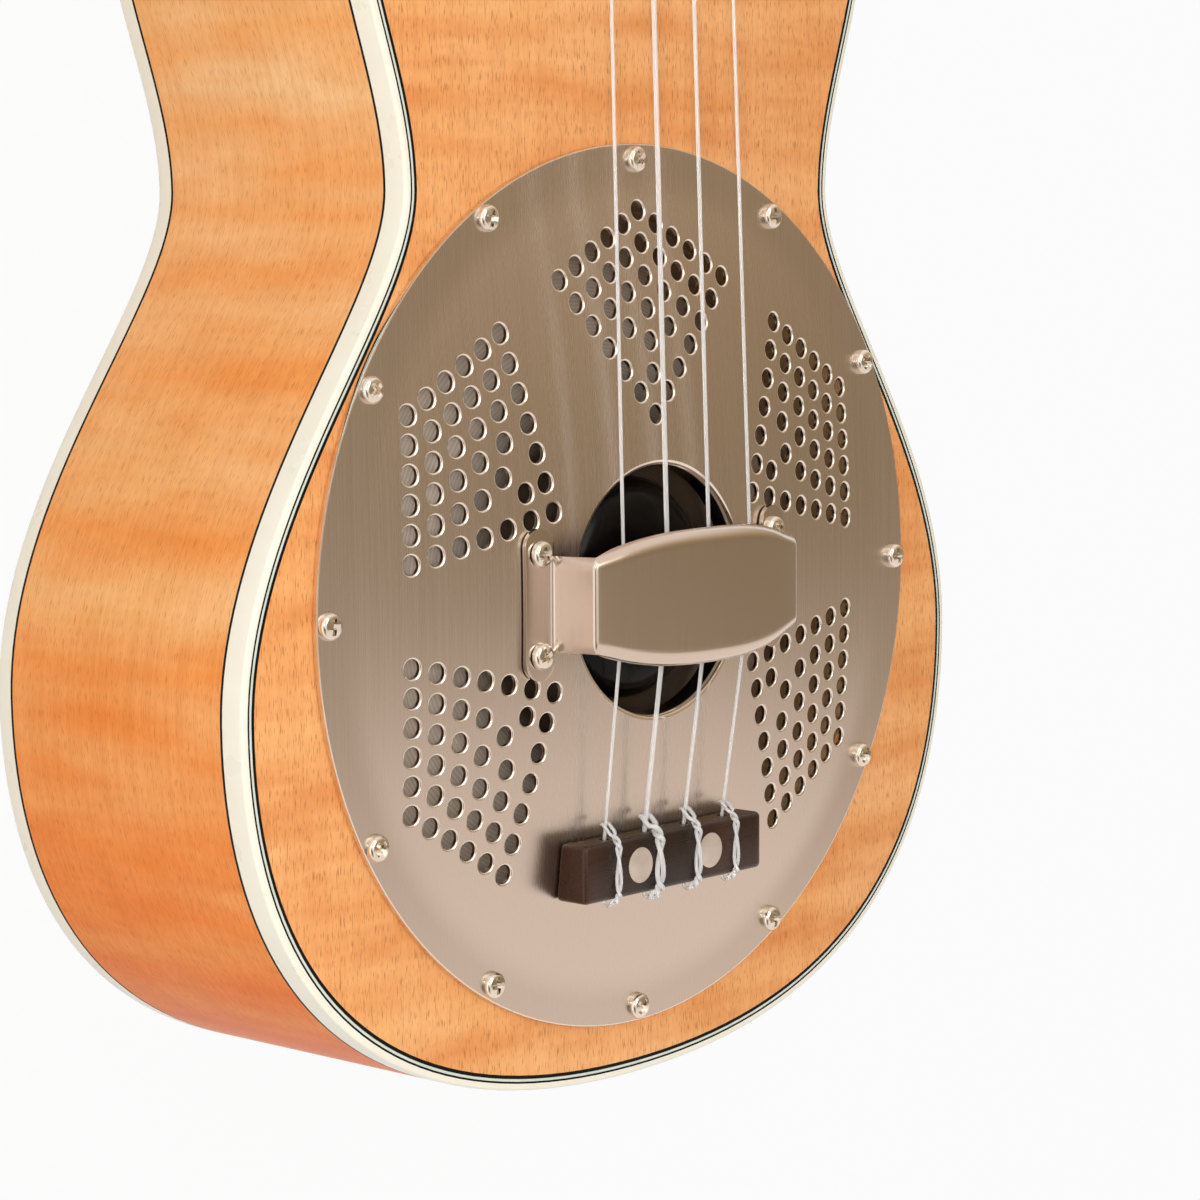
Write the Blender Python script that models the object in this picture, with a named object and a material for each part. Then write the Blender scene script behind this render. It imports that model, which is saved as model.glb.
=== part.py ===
"""Resonator ukulele: a wooden body with a spun cone under a perforated coverplate, neck and geared tuners.

Metres, +Z up. The back lies on Z = 0, +Y runs towards the headstock, +X is the treble side, and the
origin is under the centre of the coverplate.
"""
import math

import bmesh
import bpy
import numpy as np
from mathutils import Matrix, Vector
from mathutils.geometry import delaunay_2d_cdt, interpolate_bezier

# Clearance between touching pieces
GAP = 0.0003

# Body outline: the lower bout sets the size, and each key is a share of its half width
LOWER_BOUT_HALF = 0.1043
TAIL_SHARE = 0.9396
TAIL_REACH_SHARE = 0.6865
BOUT_Y_SHARE = 0.1572
BOUT_REACH_DOWN_SHARE = 0.4756
BOUT_REACH_UP_SHARE = 0.3797
WAIST_HALF_SHARE = 0.5954
WAIST_Y_SHARE = 0.7478
WAIST_REACH_DOWN_SHARE = 0.2013
WAIST_REACH_UP_SHARE = 0.1918
UPPER_HALF_SHARE = 0.7287
UPPER_REACH_DOWN_SHARE = 0.2493
UPPER_REACH_UP_SHARE = 0.2301
NECK_REACH_SHARE = 0.2876
UPPER_Y_WAIST_TO_NECK_SHARE = 0.5689
NECK_FLAT_HALF = 0.026
OUTLINE_STEPS = (7, 7, 5, 6)

# Body walls and trim
BODY_DEPTH = 0.068
TOP_T = 0.003
BACK_T = 0.0025
SIDE_T = 0.003
BINDING_T = 0.0015
BINDING_HEIGHT = 0.006
BACK_BINDING_HEIGHT = 0.004
BACK_BINDING_LIFT = 0.0002
PURFLING_T = 0.0018
LINING_T = 0.005
LINING_HEIGHT = 0.007
TOP_LINING_END_SHARE = 0.182
NECK_BLOCK_MARGIN = 0.004
NECK_BLOCK_LENGTH = 0.022
BRACE_WIDTH = 0.008
BRACE_HEIGHT = 0.009

# Scale, neck and fretboard
SCALE_LENGTH = 0.381
NECK_TILT = math.radians(1.2317)
FRETBOARD_T = 0.005
FRETBOARD_TAIL = 0.004
FRETBOARD_HALF_AT_NUT = 0.019
FRETBOARD_HALF_AT_BODY = 0.0215
FRET_COUNT = 16
FRET_WIDTH = 0.002
FRET_CROWN = 0.0011
FRET_HEIGHT = 0.001
NUT_T = 0.0045
NUT_RISE = 0.0011
NECK_DEPTH_AT_NUT = 0.0165
NECK_DEPTH_AT_HEEL = 0.0195
HEEL_ABOVE_BACK = 0.010
HEEL_LENGTH = 0.034
HEEL_SWEEP_SHARES = ((0.0, 1.0), (0.2, 0.80), (0.45, 0.42), (0.7, 0.16), (1.0, 0.0))
NECK_ROUNDNESS = 2.4
HEAD_ANGLE = math.radians(12)
HEAD_LENGTH = 0.138
HEAD_T = 0.013
HEAD_SQUARENESS = 12
HEAD_START_SQUARENESS = 3
HEAD_SHOULDER = 0.022
HEAD_HALF_AT_SHOULDER = 0.0275
HEAD_HALF_AT_CROWN = 0.0295
CROWN_LENGTH = 0.022
CROWN_HALF_AT_TIP = 0.015

# Coverplate: a domed sheet with a flat flange
PLATE_OVERHANG = 0.0006
PLATE_T = 0.001
PLATE_HOLE_R = 0.0244
DOME_MARGIN = 0.0005
DOME_HEIGHT = 0.00725
DOME_POWER = 1.62
PLATE_SIDES = 60
PLATE_HOLE_SIDES = 36
PLATE_SCREWS = 12
PLATE_SCREW_INSET = 0.0024

# Perforations: five fans, each a stack of chevrons that point at the rim
FAN_DEGREES = (-120, -60, 0, 60, 120)
FAN_INTERVALS = (5, 4, 3, 2, 1, 1, 0)
FAN_RIM_MARGIN = 0.0049
FAN_HOLE_MARGIN = 0.0101
FAN_TIP_STEP_SHARE = 0.0854
FAN_EDGE_HALF_SHARE = 0.3252
FAN_EDGE_SHARE = 0.8219
FAN_EDGE_STEP_SHARE = 0.0594
PERFORATION_R = 0.00205
PERFORATION_SIDES = 6

# Screws
SCREW_SIDES = 6
SCREW_HEAD_SIDES = 8
SCREW_SHANK_R = 0.0011
SCREW_HOLE_R = 0.0016
SCREW_HEAD_R = 0.0025
SCREW_HEAD_HEIGHT = 0.0017
PLATE_SCREW_LENGTH = 0.012
PALM_SCREW_LENGTH = 0.004

# Soundwell, cone and biscuit
WELL_MARGIN = 0.0179
WELL_WALL = 0.0069
WELL_LEDGE = 0.0095
WELL_LEDGE_T = 0.0045
TURNED_SIDES = 32
CONE_T = 0.0008
CONE_HEIGHT = 0.018
CONE_TOP_MARGIN = 0.0015
CONE_LIP = 0.005
CONE_RIM_PLAY = 0.001
CONE_BULGE = 0.56
BISCUIT_PLAY = 0.0024
BISCUIT_T = 0.008
BISCUIT_TOP_RISE = 0.0032
BISCUIT_ROUND = 0.0015
BISCUIT_SCREW_DEPTH = 0.005
BISCUIT_SCREW_HEAD_R = 0.003
SADDLE_MARGIN = 0.0015
SADDLE_T = 0.003
SADDLE_SLOT_DEPTH = 0.0022
SADDLE_RISE = 0.0146

# Palm rest
PALM_HOLE_MARGIN = 0.0068
PALM_TAB_WIDTH = 0.009
PALM_TAB_HALF = 0.0145
PALM_END_HALF = 0.0092
PALM_MID_HALF = 0.0132
PALM_END_RISE = 0.0177
PALM_MID_RISE = 0.0222
PALM_EDGE_DROP = 0.0015
PALM_EDGE_POWER = 4
PALM_ACROSS_SHARES = (-1.0, -0.8, 0.0, 0.8, 1.0)
PALM_TOP_SHARES = (1.0, 0.75, 0.5, 0.25, 0.0)
PALM_BEND = 0.0018
PALM_T = 0.001
PALM_SCREW_INSET = 0.0054
PALM_SCREW_Y = 0.0097

# Tie block
TIE_HALF = 0.0267
TIE_FRONT_Y = -0.047
TIE_LENGTH = 0.0115
TIE_STATIONS = 9
TIE_TOP_RISE = 0.0115
TIE_CHAMFER = 0.0012
TIE_HOLE_R = 0.001
TIE_HOLE_RISE = 0.0084
DOT_R = 0.0035
DOT_X = 0.0106
DOT_DEPTH = 0.001
DOT_SIDES = 12

# Strings
STRING_NAMES = ("g", "c", "e", "a")
STRING_DIAMETERS = (0.0007, 0.001, 0.0008, 0.0007)
STRING_STEPS = (-1.5, -0.5, 0.5, 1.5)
TIE_SPACING = 0.01187
SADDLE_SPACING = 0.01273
NUT_SPACING = 0.01033
KNOT_REACH = 0.003
KNOT_PLAY = 0.0007
KNOT_STEPS = 4
WRAP_TURNS = 2.5
WRAP_POINTS = 10
WRAP_STEP = 0.0016
WRAP_TOP = 0.0105
WRAP_TAIL = 0.002

# Tuners
TUNER_SIDES = (-1, -1, 1, 1)
TUNER_ROWS = (0, 1, 1, 0)
TUNER_FIRST_ROW_SHARE = 0.3188
TUNER_ROW_STEP_SHARE = 0.3261
POST_X = 0.017
POST_R = 0.003
POST_RISE = 0.0145
POST_SIDES = 10
BUSHING_R = 0.0045
BUSHING_FLANGE_R = 0.006
BUSHING_FLANGE_T = 0.0015
BUSHING_LENGTH = 0.008
TUNER_PLATE_T = 0.0012
TUNER_PLATE_HALF_X = 0.009
TUNER_PLATE_BELOW = 0.008
TUNER_PLATE_MARGIN = 0.0045
GEAR_TEETH = 12
GEAR_R = 0.005
GEAR_T = 0.003
TOOTH = 0.0005
TOOTH_POINTS = 4
MESH_GAP = 0.00035
WORM_R = 0.0022
WORM_HALF = 0.0028
WORM_SIDES = 8
SHAFT_R = 0.0013
LUG_T = 0.002
LUG_HALF = 0.0024
BUTTON_START = 0.0132
BUTTON_LENGTH = 0.012
BUTTON_HALF_WIDTH = 0.0072
BUTTON_HALF_T = 0.003
BUTTON_PROFILE_SHARES = ((0.0, 0.55, 0.6), (0.35, 1.0, 1.0), (0.75, 0.9, 1.0), (1.0, 0.45, 0.6))

# Colour, roughness and metallic value of each material
FINISHES = {
    "honey_wood": ((0.62, 0.27, 0.07), 0.30, 0.0),
    "side_wood": ((0.50, 0.17, 0.04), 0.30, 0.0),
    "neck_wood": ((0.33, 0.13, 0.05), 0.35, 0.0),
    "inner_wood": ((0.62, 0.44, 0.24), 0.60, 0.0),
    "rosewood": ((0.07, 0.03, 0.02), 0.45, 0.0),
    "black_maple": ((0.01, 0.01, 0.01), 0.35, 0.0),
    "cream_binding": ((0.78, 0.70, 0.48), 0.35, 0.0),
    "purfling": ((0.70, 0.66, 0.56), 0.40, 0.0),
    "nickel": ((0.60, 0.55, 0.50), 0.30, 1.0),
    "chrome": ((0.75, 0.75, 0.75), 0.12, 1.0),
    "spun_aluminium": ((0.72, 0.72, 0.72), 0.35, 1.0),
    "bone": ((0.85, 0.82, 0.72), 0.40, 0.0),
    "pearl": ((0.85, 0.86, 0.83), 0.20, 0.0),
    "nylon": ((0.80, 0.80, 0.78), 0.15, 0.0),
}

# Levels and edges that follow from the sizes above
TOP_Z = BODY_DEPTH
HEEL_DEPTH = BODY_DEPTH - HEEL_ABOVE_BACK
LOWER_BOUT_Y = -BOUT_Y_SHARE * LOWER_BOUT_HALF
WELL_OUTER_R = LOWER_BOUT_HALF - WELL_MARGIN
WELL_R = WELL_OUTER_R - WELL_WALL
WELL_LEDGE_R = WELL_R - WELL_LEDGE
PLATE_R = WELL_OUTER_R + PLATE_OVERHANG
PLATE_SCREW_CIRCLE = WELL_OUTER_R - PLATE_SCREW_INSET
DOME_R = WELL_R - DOME_MARGIN
FAN_TIP = DOME_R - FAN_RIM_MARGIN
FAN_INNER_TIP = PLATE_HOLE_R + FAN_HOLE_MARGIN
FAN_EDGE = FAN_EDGE_SHARE * FAN_TIP
BISCUIT_R = PLATE_HOLE_R - BISCUIT_PLAY
CONE_TOP_R = BISCUIT_R + CONE_TOP_MARGIN
SADDLE_HALF = BISCUIT_R - SADDLE_MARGIN
PALM_RISER_X = PLATE_HOLE_R + PALM_HOLE_MARGIN
PALM_TAB_END = PALM_RISER_X + PALM_TAB_WIDTH
PALM_SCREW_X = PALM_TAB_END - PALM_SCREW_INSET
TIE_REAR_Y = TIE_FRONT_Y - TIE_LENGTH
PURFLING_IN = BINDING_T + GAP
TOP_IN = PURFLING_IN + PURFLING_T + GAP
LINING_IN = SIDE_T + GAP
UNDER_TOP_Z = TOP_Z - TOP_T - GAP
ON_BACK_Z = BACK_T + GAP
FLANGE_Z = TOP_Z + GAP + PLATE_T
BODY_END_Y = SCALE_LENGTH / 2
HEAD_START_Y = SCALE_LENGTH + NUT_T + 2 * GAP
BISCUIT_TOP_Z = TOP_Z + BISCUIT_TOP_RISE
CONE_TOP_Z = BISCUIT_TOP_Z - BISCUIT_T - GAP
LEDGE_Z = CONE_TOP_Z - CONE_HEIGHT - GAP
SADDLE_TOP_Z = TOP_Z + SADDLE_RISE
TIE_TOP_Z = TOP_Z + TIE_TOP_RISE
TIE_HOLE_Z = TOP_Z + TIE_HOLE_RISE
TUNER_PLATE_Z = -HEAD_T - GAP
WORM_Z = TUNER_PLATE_Z - TUNER_PLATE_T - GAP - WORM_R - TOOTH
WORM_Y = GEAR_R + WORM_R + MESH_GAP
WORM_LEAD = 2 * math.pi * GEAR_R / GEAR_TEETH


def neck_top(y):
    """Height of the neck's glue face, level with the body and then sloping back."""
    return TOP_Z - math.tan(NECK_TILT) * max(0.0, y - BODY_END_Y)


def fretboard_top(y):
    return TOP_Z + GAP + FRETBOARD_T - math.tan(NECK_TILT) * (y - BODY_END_Y)


def fretboard_half(y):
    share = (y - BODY_END_Y) / (SCALE_LENGTH - BODY_END_Y)
    return FRETBOARD_HALF_AT_BODY + (FRETBOARD_HALF_AT_NUT - FRETBOARD_HALF_AT_BODY) * share


def plate_top(x, y):
    """Height of the coverplate's upper face."""
    reach = min(1.0, math.hypot(x, y) / DOME_R)
    return FLANGE_Z + DOME_HEIGHT * (1 - reach ** DOME_POWER)


def headstock_matrix():
    """Frame on the headstock's face, just past the nut, tilted back with it."""
    place = Matrix.Translation((0, HEAD_START_Y, neck_top(HEAD_START_Y)))
    return place @ Matrix.Rotation(-HEAD_ANGLE, 4, "X")


def clear_scene():
    for item in list(bpy.data.objects):
        bpy.data.objects.remove(item, do_unlink=True)


def finish_of(name):
    """Material of that name, made on first use."""
    found = bpy.data.materials.get(name)
    if found:
        return found
    color, roughness, metallic = FINISHES[name]
    made = bpy.data.materials.new(name)
    made.use_nodes = True
    shader = made.node_tree.nodes["Principled BSDF"]
    shader.inputs["Base Color"].default_value = (*color, 1.0)
    shader.inputs["Roughness"].default_value = roughness
    shader.inputs["Metallic"].default_value = metallic
    return made


def place(name, data, finish, parent=None, location=(0, 0, 0)):
    piece = bpy.data.objects.new(name, data)
    bpy.context.collection.objects.link(piece)
    piece.parent = parent
    piece.location = location
    if finish:
        data.materials.append(finish_of(finish))
    return piece


def add_mesh(name, vertices, faces, finish, parent=None, location=(0, 0, 0)):
    """Closed mesh with its faces turned outwards and its round stretches shaded smooth."""
    data = bpy.data.meshes.new(name)
    data.from_pydata(vertices, [], faces)
    work = bmesh.new()
    work.from_mesh(data)
    bmesh.ops.recalc_face_normals(work, faces=work.faces)
    work.to_mesh(data)
    work.free()
    data.shade_smooth()
    data.set_sharp_from_angle(angle=math.radians(35))
    return place(name, data, finish, parent, location)


def hide_tool(tool):
    """Mark a shape that only cuts or joins another."""
    tool.hide_render = True
    tool.display_type = "WIRE"
    return tool


def combine(piece, tool, operation):
    step = piece.modifiers.new(tool.name, "BOOLEAN")
    step.operation = operation
    step.solver = "EXACT"
    step.object = hide_tool(tool)


def cut(piece, tool):
    combine(piece, tool, "DIFFERENCE")


def join(piece, tool):
    combine(piece, tool, "UNION")


def circle(x, y, radius, sides, turn=0.0):
    angles = [turn + 2 * math.pi * k / sides for k in range(sides)]
    return [(x + radius * math.cos(a), y + radius * math.sin(a)) for a in angles]


def loft(name, sections, finish, parent=None, location=(0, 0, 0), closed=False):
    """Skin over sections with as many points each, capped at both ends unless it closes on itself."""
    count = len(sections[0])
    vertices = [point for section in sections for point in section]
    faces = []
    for s in range(len(sections) if closed else len(sections) - 1):
        here = s * count
        there = (s + 1) % len(sections) * count
        for k in range(count):
            nxt = (k + 1) % count
            faces.append((here + k, here + nxt, there + nxt, there + k))
    if not closed:
        faces.append(tuple(range(count)))
        faces.append(tuple(range(len(vertices) - count, len(vertices))))
    return add_mesh(name, vertices, faces, finish, parent, location)


def turned(name, profile, sides, finish, parent=None, location=(0, 0, 0)):
    """Ring about Z with a closed (radius, height) profile."""
    sections = []
    for k in range(sides):
        a = 2 * math.pi * k / sides
        sections.append([(r * math.cos(a), r * math.sin(a), z) for r, z in profile])
    return loft(name, sections, finish, parent, location, closed=True)


def stacked(name, rings, sides, finish, location=(0, 0, 0)):
    """Solid about Z through rings given as (radius, height), capped at both ends."""
    sections = [[(x, y, z) for x, y in circle(0, 0, r, sides)] for r, z in rings]
    return loft(name, sections, finish, location=location)


def block(name, low, high, finish, parent=None, location=(0, 0, 0)):
    """Box between two corners."""
    sections = []
    for x in (low[0], high[0]):
        sections.append([(x, low[1], low[2]), (x, high[1], low[2]), (x, high[1], high[2]), (x, low[1], high[2])])
    return loft(name, sections, finish, parent, location)


def prism(name, outline, low, high, finish=None, parent=None, location=(0, 0, 0)):
    """Upright solid over an outline."""
    sections = [[(x, y, z) for x, y in outline] for z in (low, high)]
    return loft(name, sections, finish, parent, location)


def inside_hole(x, y, holes):
    for hx, hy, radius, sides in holes:
        if math.hypot(x - hx, y - hy) < radius * math.cos(math.pi / sides):
            return True
    return False


def pierced_sheet(name, outline, holes, guides, height, thickness, finish):
    """Sheet over an outline with round holes, whose upper face follows height(x, y)."""
    points = [Vector(p) for p in outline]
    edges = [(k, (k + 1) % len(outline)) for k in range(len(outline))]
    for x, y, radius, sides in holes:
        first = len(points)
        points += [Vector(p) for p in circle(x, y, radius, sides)]
        edges += [(first + k, first + (k + 1) % sides) for k in range(sides)]
    points += [Vector(p) for p in guides]
    flat, _, triangles, *_ = delaunay_2d_cdt(points, edges, [], 1, 1e-7)
    kept = []
    for triangle in triangles:
        centre = sum((flat[k] for k in triangle), Vector((0, 0))) / 3
        if not inside_hole(centre.x, centre.y, holes):
            kept.append(tuple(triangle))
    count = len(flat)
    upper = [(p.x, p.y, height(p.x, p.y)) for p in flat]
    lower = [(x, y, z - thickness) for x, y, z in upper]
    faces = kept + [tuple(k + count for k in reversed(t)) for t in kept]
    sides_of = {}
    for a, b, c in kept:
        for edge in ((a, b), (b, c), (c, a)):
            sides_of.setdefault(frozenset(edge), []).append(edge)
    for found in sides_of.values():
        if len(found) == 1:
            a, b = found[0]
            faces.append((b, a, a + count, b + count))
    return add_mesh(name, upper + lower, faces, finish)


def bezier(start, start_handle, end_handle, end, steps):
    """Points after the start of one curve, up to its end."""
    knots = [Vector((x, y, 0)) for x, y in (start, start_handle, end_handle, end)]
    return [(p.x, p.y) for p in interpolate_bezier(*knots, steps + 1)][1:]


def body_outline():
    """Closed outline from the tail, up the treble side and back down the bass side."""
    size = LOWER_BOUT_HALF
    tail = (0, -TAIL_SHARE * size)
    bout = (size, LOWER_BOUT_Y)
    waist = (WAIST_HALF_SHARE * size, WAIST_Y_SHARE * size)
    upper_y = waist[1] + UPPER_Y_WAIST_TO_NECK_SHARE * (BODY_END_Y - waist[1])
    upper = (UPPER_HALF_SHARE * size, upper_y)
    neck = (NECK_FLAT_HALF, BODY_END_Y)
    runs = (
        (tail, (TAIL_REACH_SHARE * size, tail[1]), (bout[0], bout[1] - BOUT_REACH_DOWN_SHARE * size), bout),
        (bout, (bout[0], bout[1] + BOUT_REACH_UP_SHARE * size),
         (waist[0], waist[1] - WAIST_REACH_DOWN_SHARE * size), waist),
        (waist, (waist[0], waist[1] + WAIST_REACH_UP_SHARE * size),
         (upper[0], upper[1] - UPPER_REACH_DOWN_SHARE * size), upper),
        (upper, (upper[0], upper[1] + UPPER_REACH_UP_SHARE * size),
         (neck[0] + NECK_REACH_SHARE * size, neck[1]), neck),
    )
    treble = []
    for run, steps in zip(runs, OUTLINE_STEPS):
        treble += bezier(*run, steps)
    bass = [(-x, y) for x, y in reversed(treble)]
    return [tail] + treble + bass


def inset(outline, distance):
    """Outline moved inwards, edge by edge."""
    moved = []
    for k, (x, y) in enumerate(outline):
        before = Vector((x, y)) - Vector(outline[k - 1])
        after = Vector(outline[(k + 1) % len(outline)]) - Vector((x, y))
        n1 = Vector((-before.y, before.x)).normalized()
        n2 = Vector((-after.y, after.x)).normalized()
        shift = (n1 + n2) * (distance / (1 + n1.dot(n2)))
        moved.append((x + shift.x, y + shift.y))
    return moved


def rail(name, outline, profile, finish, ends=None):
    """Strip with an (inset, height) profile along the outline: all round, or between two indices."""
    rims = [inset(outline, distance) for distance, _ in profile]
    order = range(len(outline)) if ends is None else range(ends[0], ends[1] + 1)
    sections = []
    for k in order:
        sections.append([(*rim[k % len(outline)], z) for rim, (_, z) in zip(rims, profile)])
    return loft(name, sections, finish, closed=ends is None)


def oblong(inner, outer, low, high):
    """Rectangular strip profile."""
    return ((outer, low), (inner, low), (inner, high), (outer, high))


def screw_circle(count, radius):
    """Places on a circle, the first one towards the neck."""
    angles = [math.pi / 2 + 2 * math.pi * k / count for k in range(count)]
    return [(radius * math.cos(a), radius * math.sin(a)) for a in angles]


def plate_screw_places():
    return screw_circle(PLATE_SCREWS, PLATE_SCREW_CIRCLE)


def palm_screw_places():
    return [(sx * PALM_SCREW_X, sy * PALM_SCREW_Y) for sx in (-1, 1) for sy in (1, -1)]


def screw_holes(places):
    return [(x, y, SCREW_HOLE_R, SCREW_SIDES) for x, y in places]


def add_body(outline):
    binding_z = TOP_Z - BINDING_HEIGHT
    side_profile = (
        (PURFLING_IN, ON_BACK_Z),
        (PURFLING_IN, BACK_BINDING_HEIGHT + GAP),
        (0, BACK_BINDING_HEIGHT + GAP),
        (0, binding_z - GAP),
        (PURFLING_IN, binding_z - GAP),
        (PURFLING_IN, UNDER_TOP_Z),
        (SIDE_T, UNDER_TOP_Z),
        (SIDE_T, ON_BACK_Z),
    )
    prism("body_back", inset(outline, PURFLING_IN), 0, BACK_T, "side_wood")
    rail("body_sides", outline, side_profile, "side_wood")
    rail("top_binding", outline, oblong(BINDING_T, 0, binding_z, TOP_Z), "cream_binding")
    rail("back_binding", outline, oblong(BINDING_T, 0, BACK_BINDING_LIFT, BACK_BINDING_HEIGHT), "cream_binding")
    purfling = oblong(PURFLING_IN + PURFLING_T, PURFLING_IN, UNDER_TOP_Z + GAP, TOP_Z)
    rail("top_purfling", outline, purfling, "purfling")
    holes = [(0, 0, WELL_R, TURNED_SIDES)] + screw_holes(plate_screw_places())
    pierced_sheet("body_top", inset(outline, TOP_IN), holes, [], lambda x, y: TOP_Z, TOP_T, "honey_wood")


def add_body_frame(outline):
    """Linings, end blocks and the brace inside the body."""
    lining_end = LINING_IN + LINING_T
    back_lining_z = ON_BACK_Z + LINING_HEIGHT
    top_lining_z = UNDER_TOP_Z - LINING_HEIGHT
    rail("back_lining", outline, oblong(lining_end, LINING_IN, ON_BACK_Z, back_lining_z), "inner_wood")
    treble = outline[: len(outline) // 2]
    last = max(k for k, (_, y) in enumerate(treble) if y < TOP_LINING_END_SHARE * LOWER_BOUT_HALF)
    top_lining = oblong(lining_end, LINING_IN, top_lining_z, UNDER_TOP_Z)
    rail("top_lining", outline, top_lining, "inner_wood", ends=(-last, last))
    neck_end = BODY_END_Y - LINING_IN
    neck_half = NECK_FLAT_HALF - NECK_BLOCK_MARGIN
    block("neck_block", (-neck_half, neck_end - NECK_BLOCK_LENGTH, back_lining_z + GAP),
          (neck_half, neck_end, UNDER_TOP_Z), "inner_wood")
    wall = inset(outline, LINING_IN)
    near = [wall[-1], wall[0], wall[1]]
    well_side = -WELL_OUTER_R - GAP
    tail_shape = near + [(near[2][0], well_side), (near[0][0], well_side)]
    prism("tail_block", tail_shape, back_lining_z + GAP, top_lining_z - GAP, "inner_wood")
    brace_half = LOWER_BOUT_HALF - lining_end - GAP - BRACE_WIDTH / 4
    block("back_brace", (-brace_half, LOWER_BOUT_Y - BRACE_WIDTH / 2, ON_BACK_Z),
          (brace_half, LOWER_BOUT_Y + BRACE_WIDTH / 2, ON_BACK_Z + BRACE_HEIGHT), "inner_wood")


def add_soundwell():
    bottom = LEDGE_Z - WELL_LEDGE_T
    profile = ((WELL_OUTER_R, bottom), (WELL_OUTER_R, UNDER_TOP_Z), (WELL_R, UNDER_TOP_Z),
               (WELL_R, LEDGE_Z), (WELL_LEDGE_R, LEDGE_Z), (WELL_LEDGE_R, bottom))
    well = turned("soundwell", profile, TURNED_SIDES, "inner_wood")
    tip = FLANGE_Z - PLATE_SCREW_LENGTH
    for k, (x, y) in enumerate(plate_screw_places()):
        hole = circle(x, y, SCREW_HOLE_R, SCREW_SIDES)
        cut(well, prism(f"well_pilot_{k + 1:02d}", hole, tip - GAP, TOP_Z))


def add_cone():
    rim_r = WELL_R - CONE_RIM_PLAY
    lip_r = rim_r - CONE_LIP
    rim_z = LEDGE_Z + GAP
    drop = CONE_TOP_Z - rim_z
    middle_r = (CONE_TOP_R + lip_r) / 2
    middle_z = rim_z + CONE_BULGE * drop
    hole_r = SCREW_HOLE_R
    upper = [(hole_r, CONE_TOP_Z), (CONE_TOP_R, CONE_TOP_Z), (middle_r, middle_z),
             (lip_r, rim_z + 2 * CONE_T), (lip_r, rim_z + CONE_T), (rim_r, rim_z + CONE_T)]
    lower = [(rim_r, rim_z), (lip_r - CONE_T, rim_z), (lip_r - CONE_T, rim_z + CONE_T),
             (middle_r - CONE_T / 2, middle_z - CONE_T), (CONE_TOP_R - CONE_T, CONE_TOP_Z - CONE_T),
             (hole_r, CONE_TOP_Z - CONE_T)]
    turned("resonator_cone", upper + lower, TURNED_SIDES, "spun_aluminium")


def add_biscuit():
    bottom = BISCUIT_TOP_Z - BISCUIT_T
    profile = ((BISCUIT_R - BISCUIT_ROUND, bottom), (BISCUIT_R, bottom + BISCUIT_ROUND),
               (BISCUIT_R, BISCUIT_TOP_Z - BISCUIT_ROUND), (BISCUIT_R - BISCUIT_ROUND, BISCUIT_TOP_Z))
    biscuit = stacked("bridge_biscuit", profile, TURNED_SIDES, "black_maple")
    slot_z = BISCUIT_TOP_Z - SADDLE_SLOT_DEPTH
    slot_half = SADDLE_T / 2 + GAP
    cut(biscuit, block("saddle_slot", (-2 * BISCUIT_R, -slot_half, slot_z),
                       (2 * BISCUIT_R, slot_half, SADDLE_TOP_Z), None))
    pilot = circle(0, 0, SCREW_HOLE_R, SCREW_SIDES)
    cut(biscuit, prism("biscuit_pilot", pilot, bottom - BISCUIT_T, bottom + BISCUIT_SCREW_DEPTH + GAP))
    block("saddle", (-SADDLE_HALF, -SADDLE_T / 2, slot_z + GAP), (SADDLE_HALF, SADDLE_T / 2, SADDLE_TOP_Z), "bone")
    head_z = CONE_TOP_Z - CONE_T - GAP
    screw = ((BISCUIT_SCREW_HEAD_R, head_z - SCREW_HEAD_HEIGHT), (BISCUIT_SCREW_HEAD_R, head_z),
             (SCREW_SHANK_R, head_z), (SCREW_SHANK_R, bottom + BISCUIT_SCREW_DEPTH))
    stacked("biscuit_screw", screw, SCREW_SIDES, "chrome")


def fan_places():
    """Centres of one fan's perforations, with V along the fan and U across it."""
    places = []
    last = len(FAN_INTERVALS) - 1
    for k, intervals in enumerate(FAN_INTERVALS):
        tip = FAN_INNER_TIP if k == last else FAN_TIP * (1 - k * FAN_TIP_STEP_SHARE)
        edge_u = FAN_EDGE_HALF_SHARE * FAN_TIP * (1 - k / last)
        edge_v = FAN_EDGE - k * FAN_EDGE_STEP_SHARE * FAN_TIP
        places.append((0, tip))
        for step in range(1, intervals + 1):
            share = step / intervals
            v = tip + (edge_v - tip) * share
            places += [(edge_u * share, v), (-edge_u * share, v)]
    return places


def perforations():
    holes = []
    for degrees in FAN_DEGREES:
        turn = Matrix.Rotation(math.radians(degrees), 2)
        for u, v in fan_places():
            spot = turn @ Vector((u, v))
            holes.append((spot.x, spot.y, PERFORATION_R, PERFORATION_SIDES))
    return holes


def add_coverplate():
    holes = [(0, 0, PLATE_HOLE_R, PLATE_HOLE_SIDES)] + perforations()
    holes += screw_holes(plate_screw_places()) + screw_holes(palm_screw_places())
    guides = circle(0, 0, DOME_R, PLATE_HOLE_SIDES, math.pi / PLATE_HOLE_SIDES)
    guides += screw_circle(len(FAN_DEGREES) + 1, -FAN_EDGE)
    outline = circle(0, 0, PLATE_R, PLATE_SIDES)
    pierced_sheet("coverplate", outline, holes, guides, plate_top, PLATE_T, "nickel")


def add_screw(name, x, y, seat, length):
    """Round-headed screw whose head sits on a face at that height."""
    rings = ((SCREW_SHANK_R, -length), (SCREW_SHANK_R, GAP), (SCREW_HEAD_R, GAP),
             (SCREW_HEAD_R, GAP + SCREW_HEAD_HEIGHT / 2), (SCREW_HEAD_R / 2, GAP + SCREW_HEAD_HEIGHT))
    stacked(name, rings, SCREW_HEAD_SIDES, "chrome", (x, y, seat))


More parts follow.
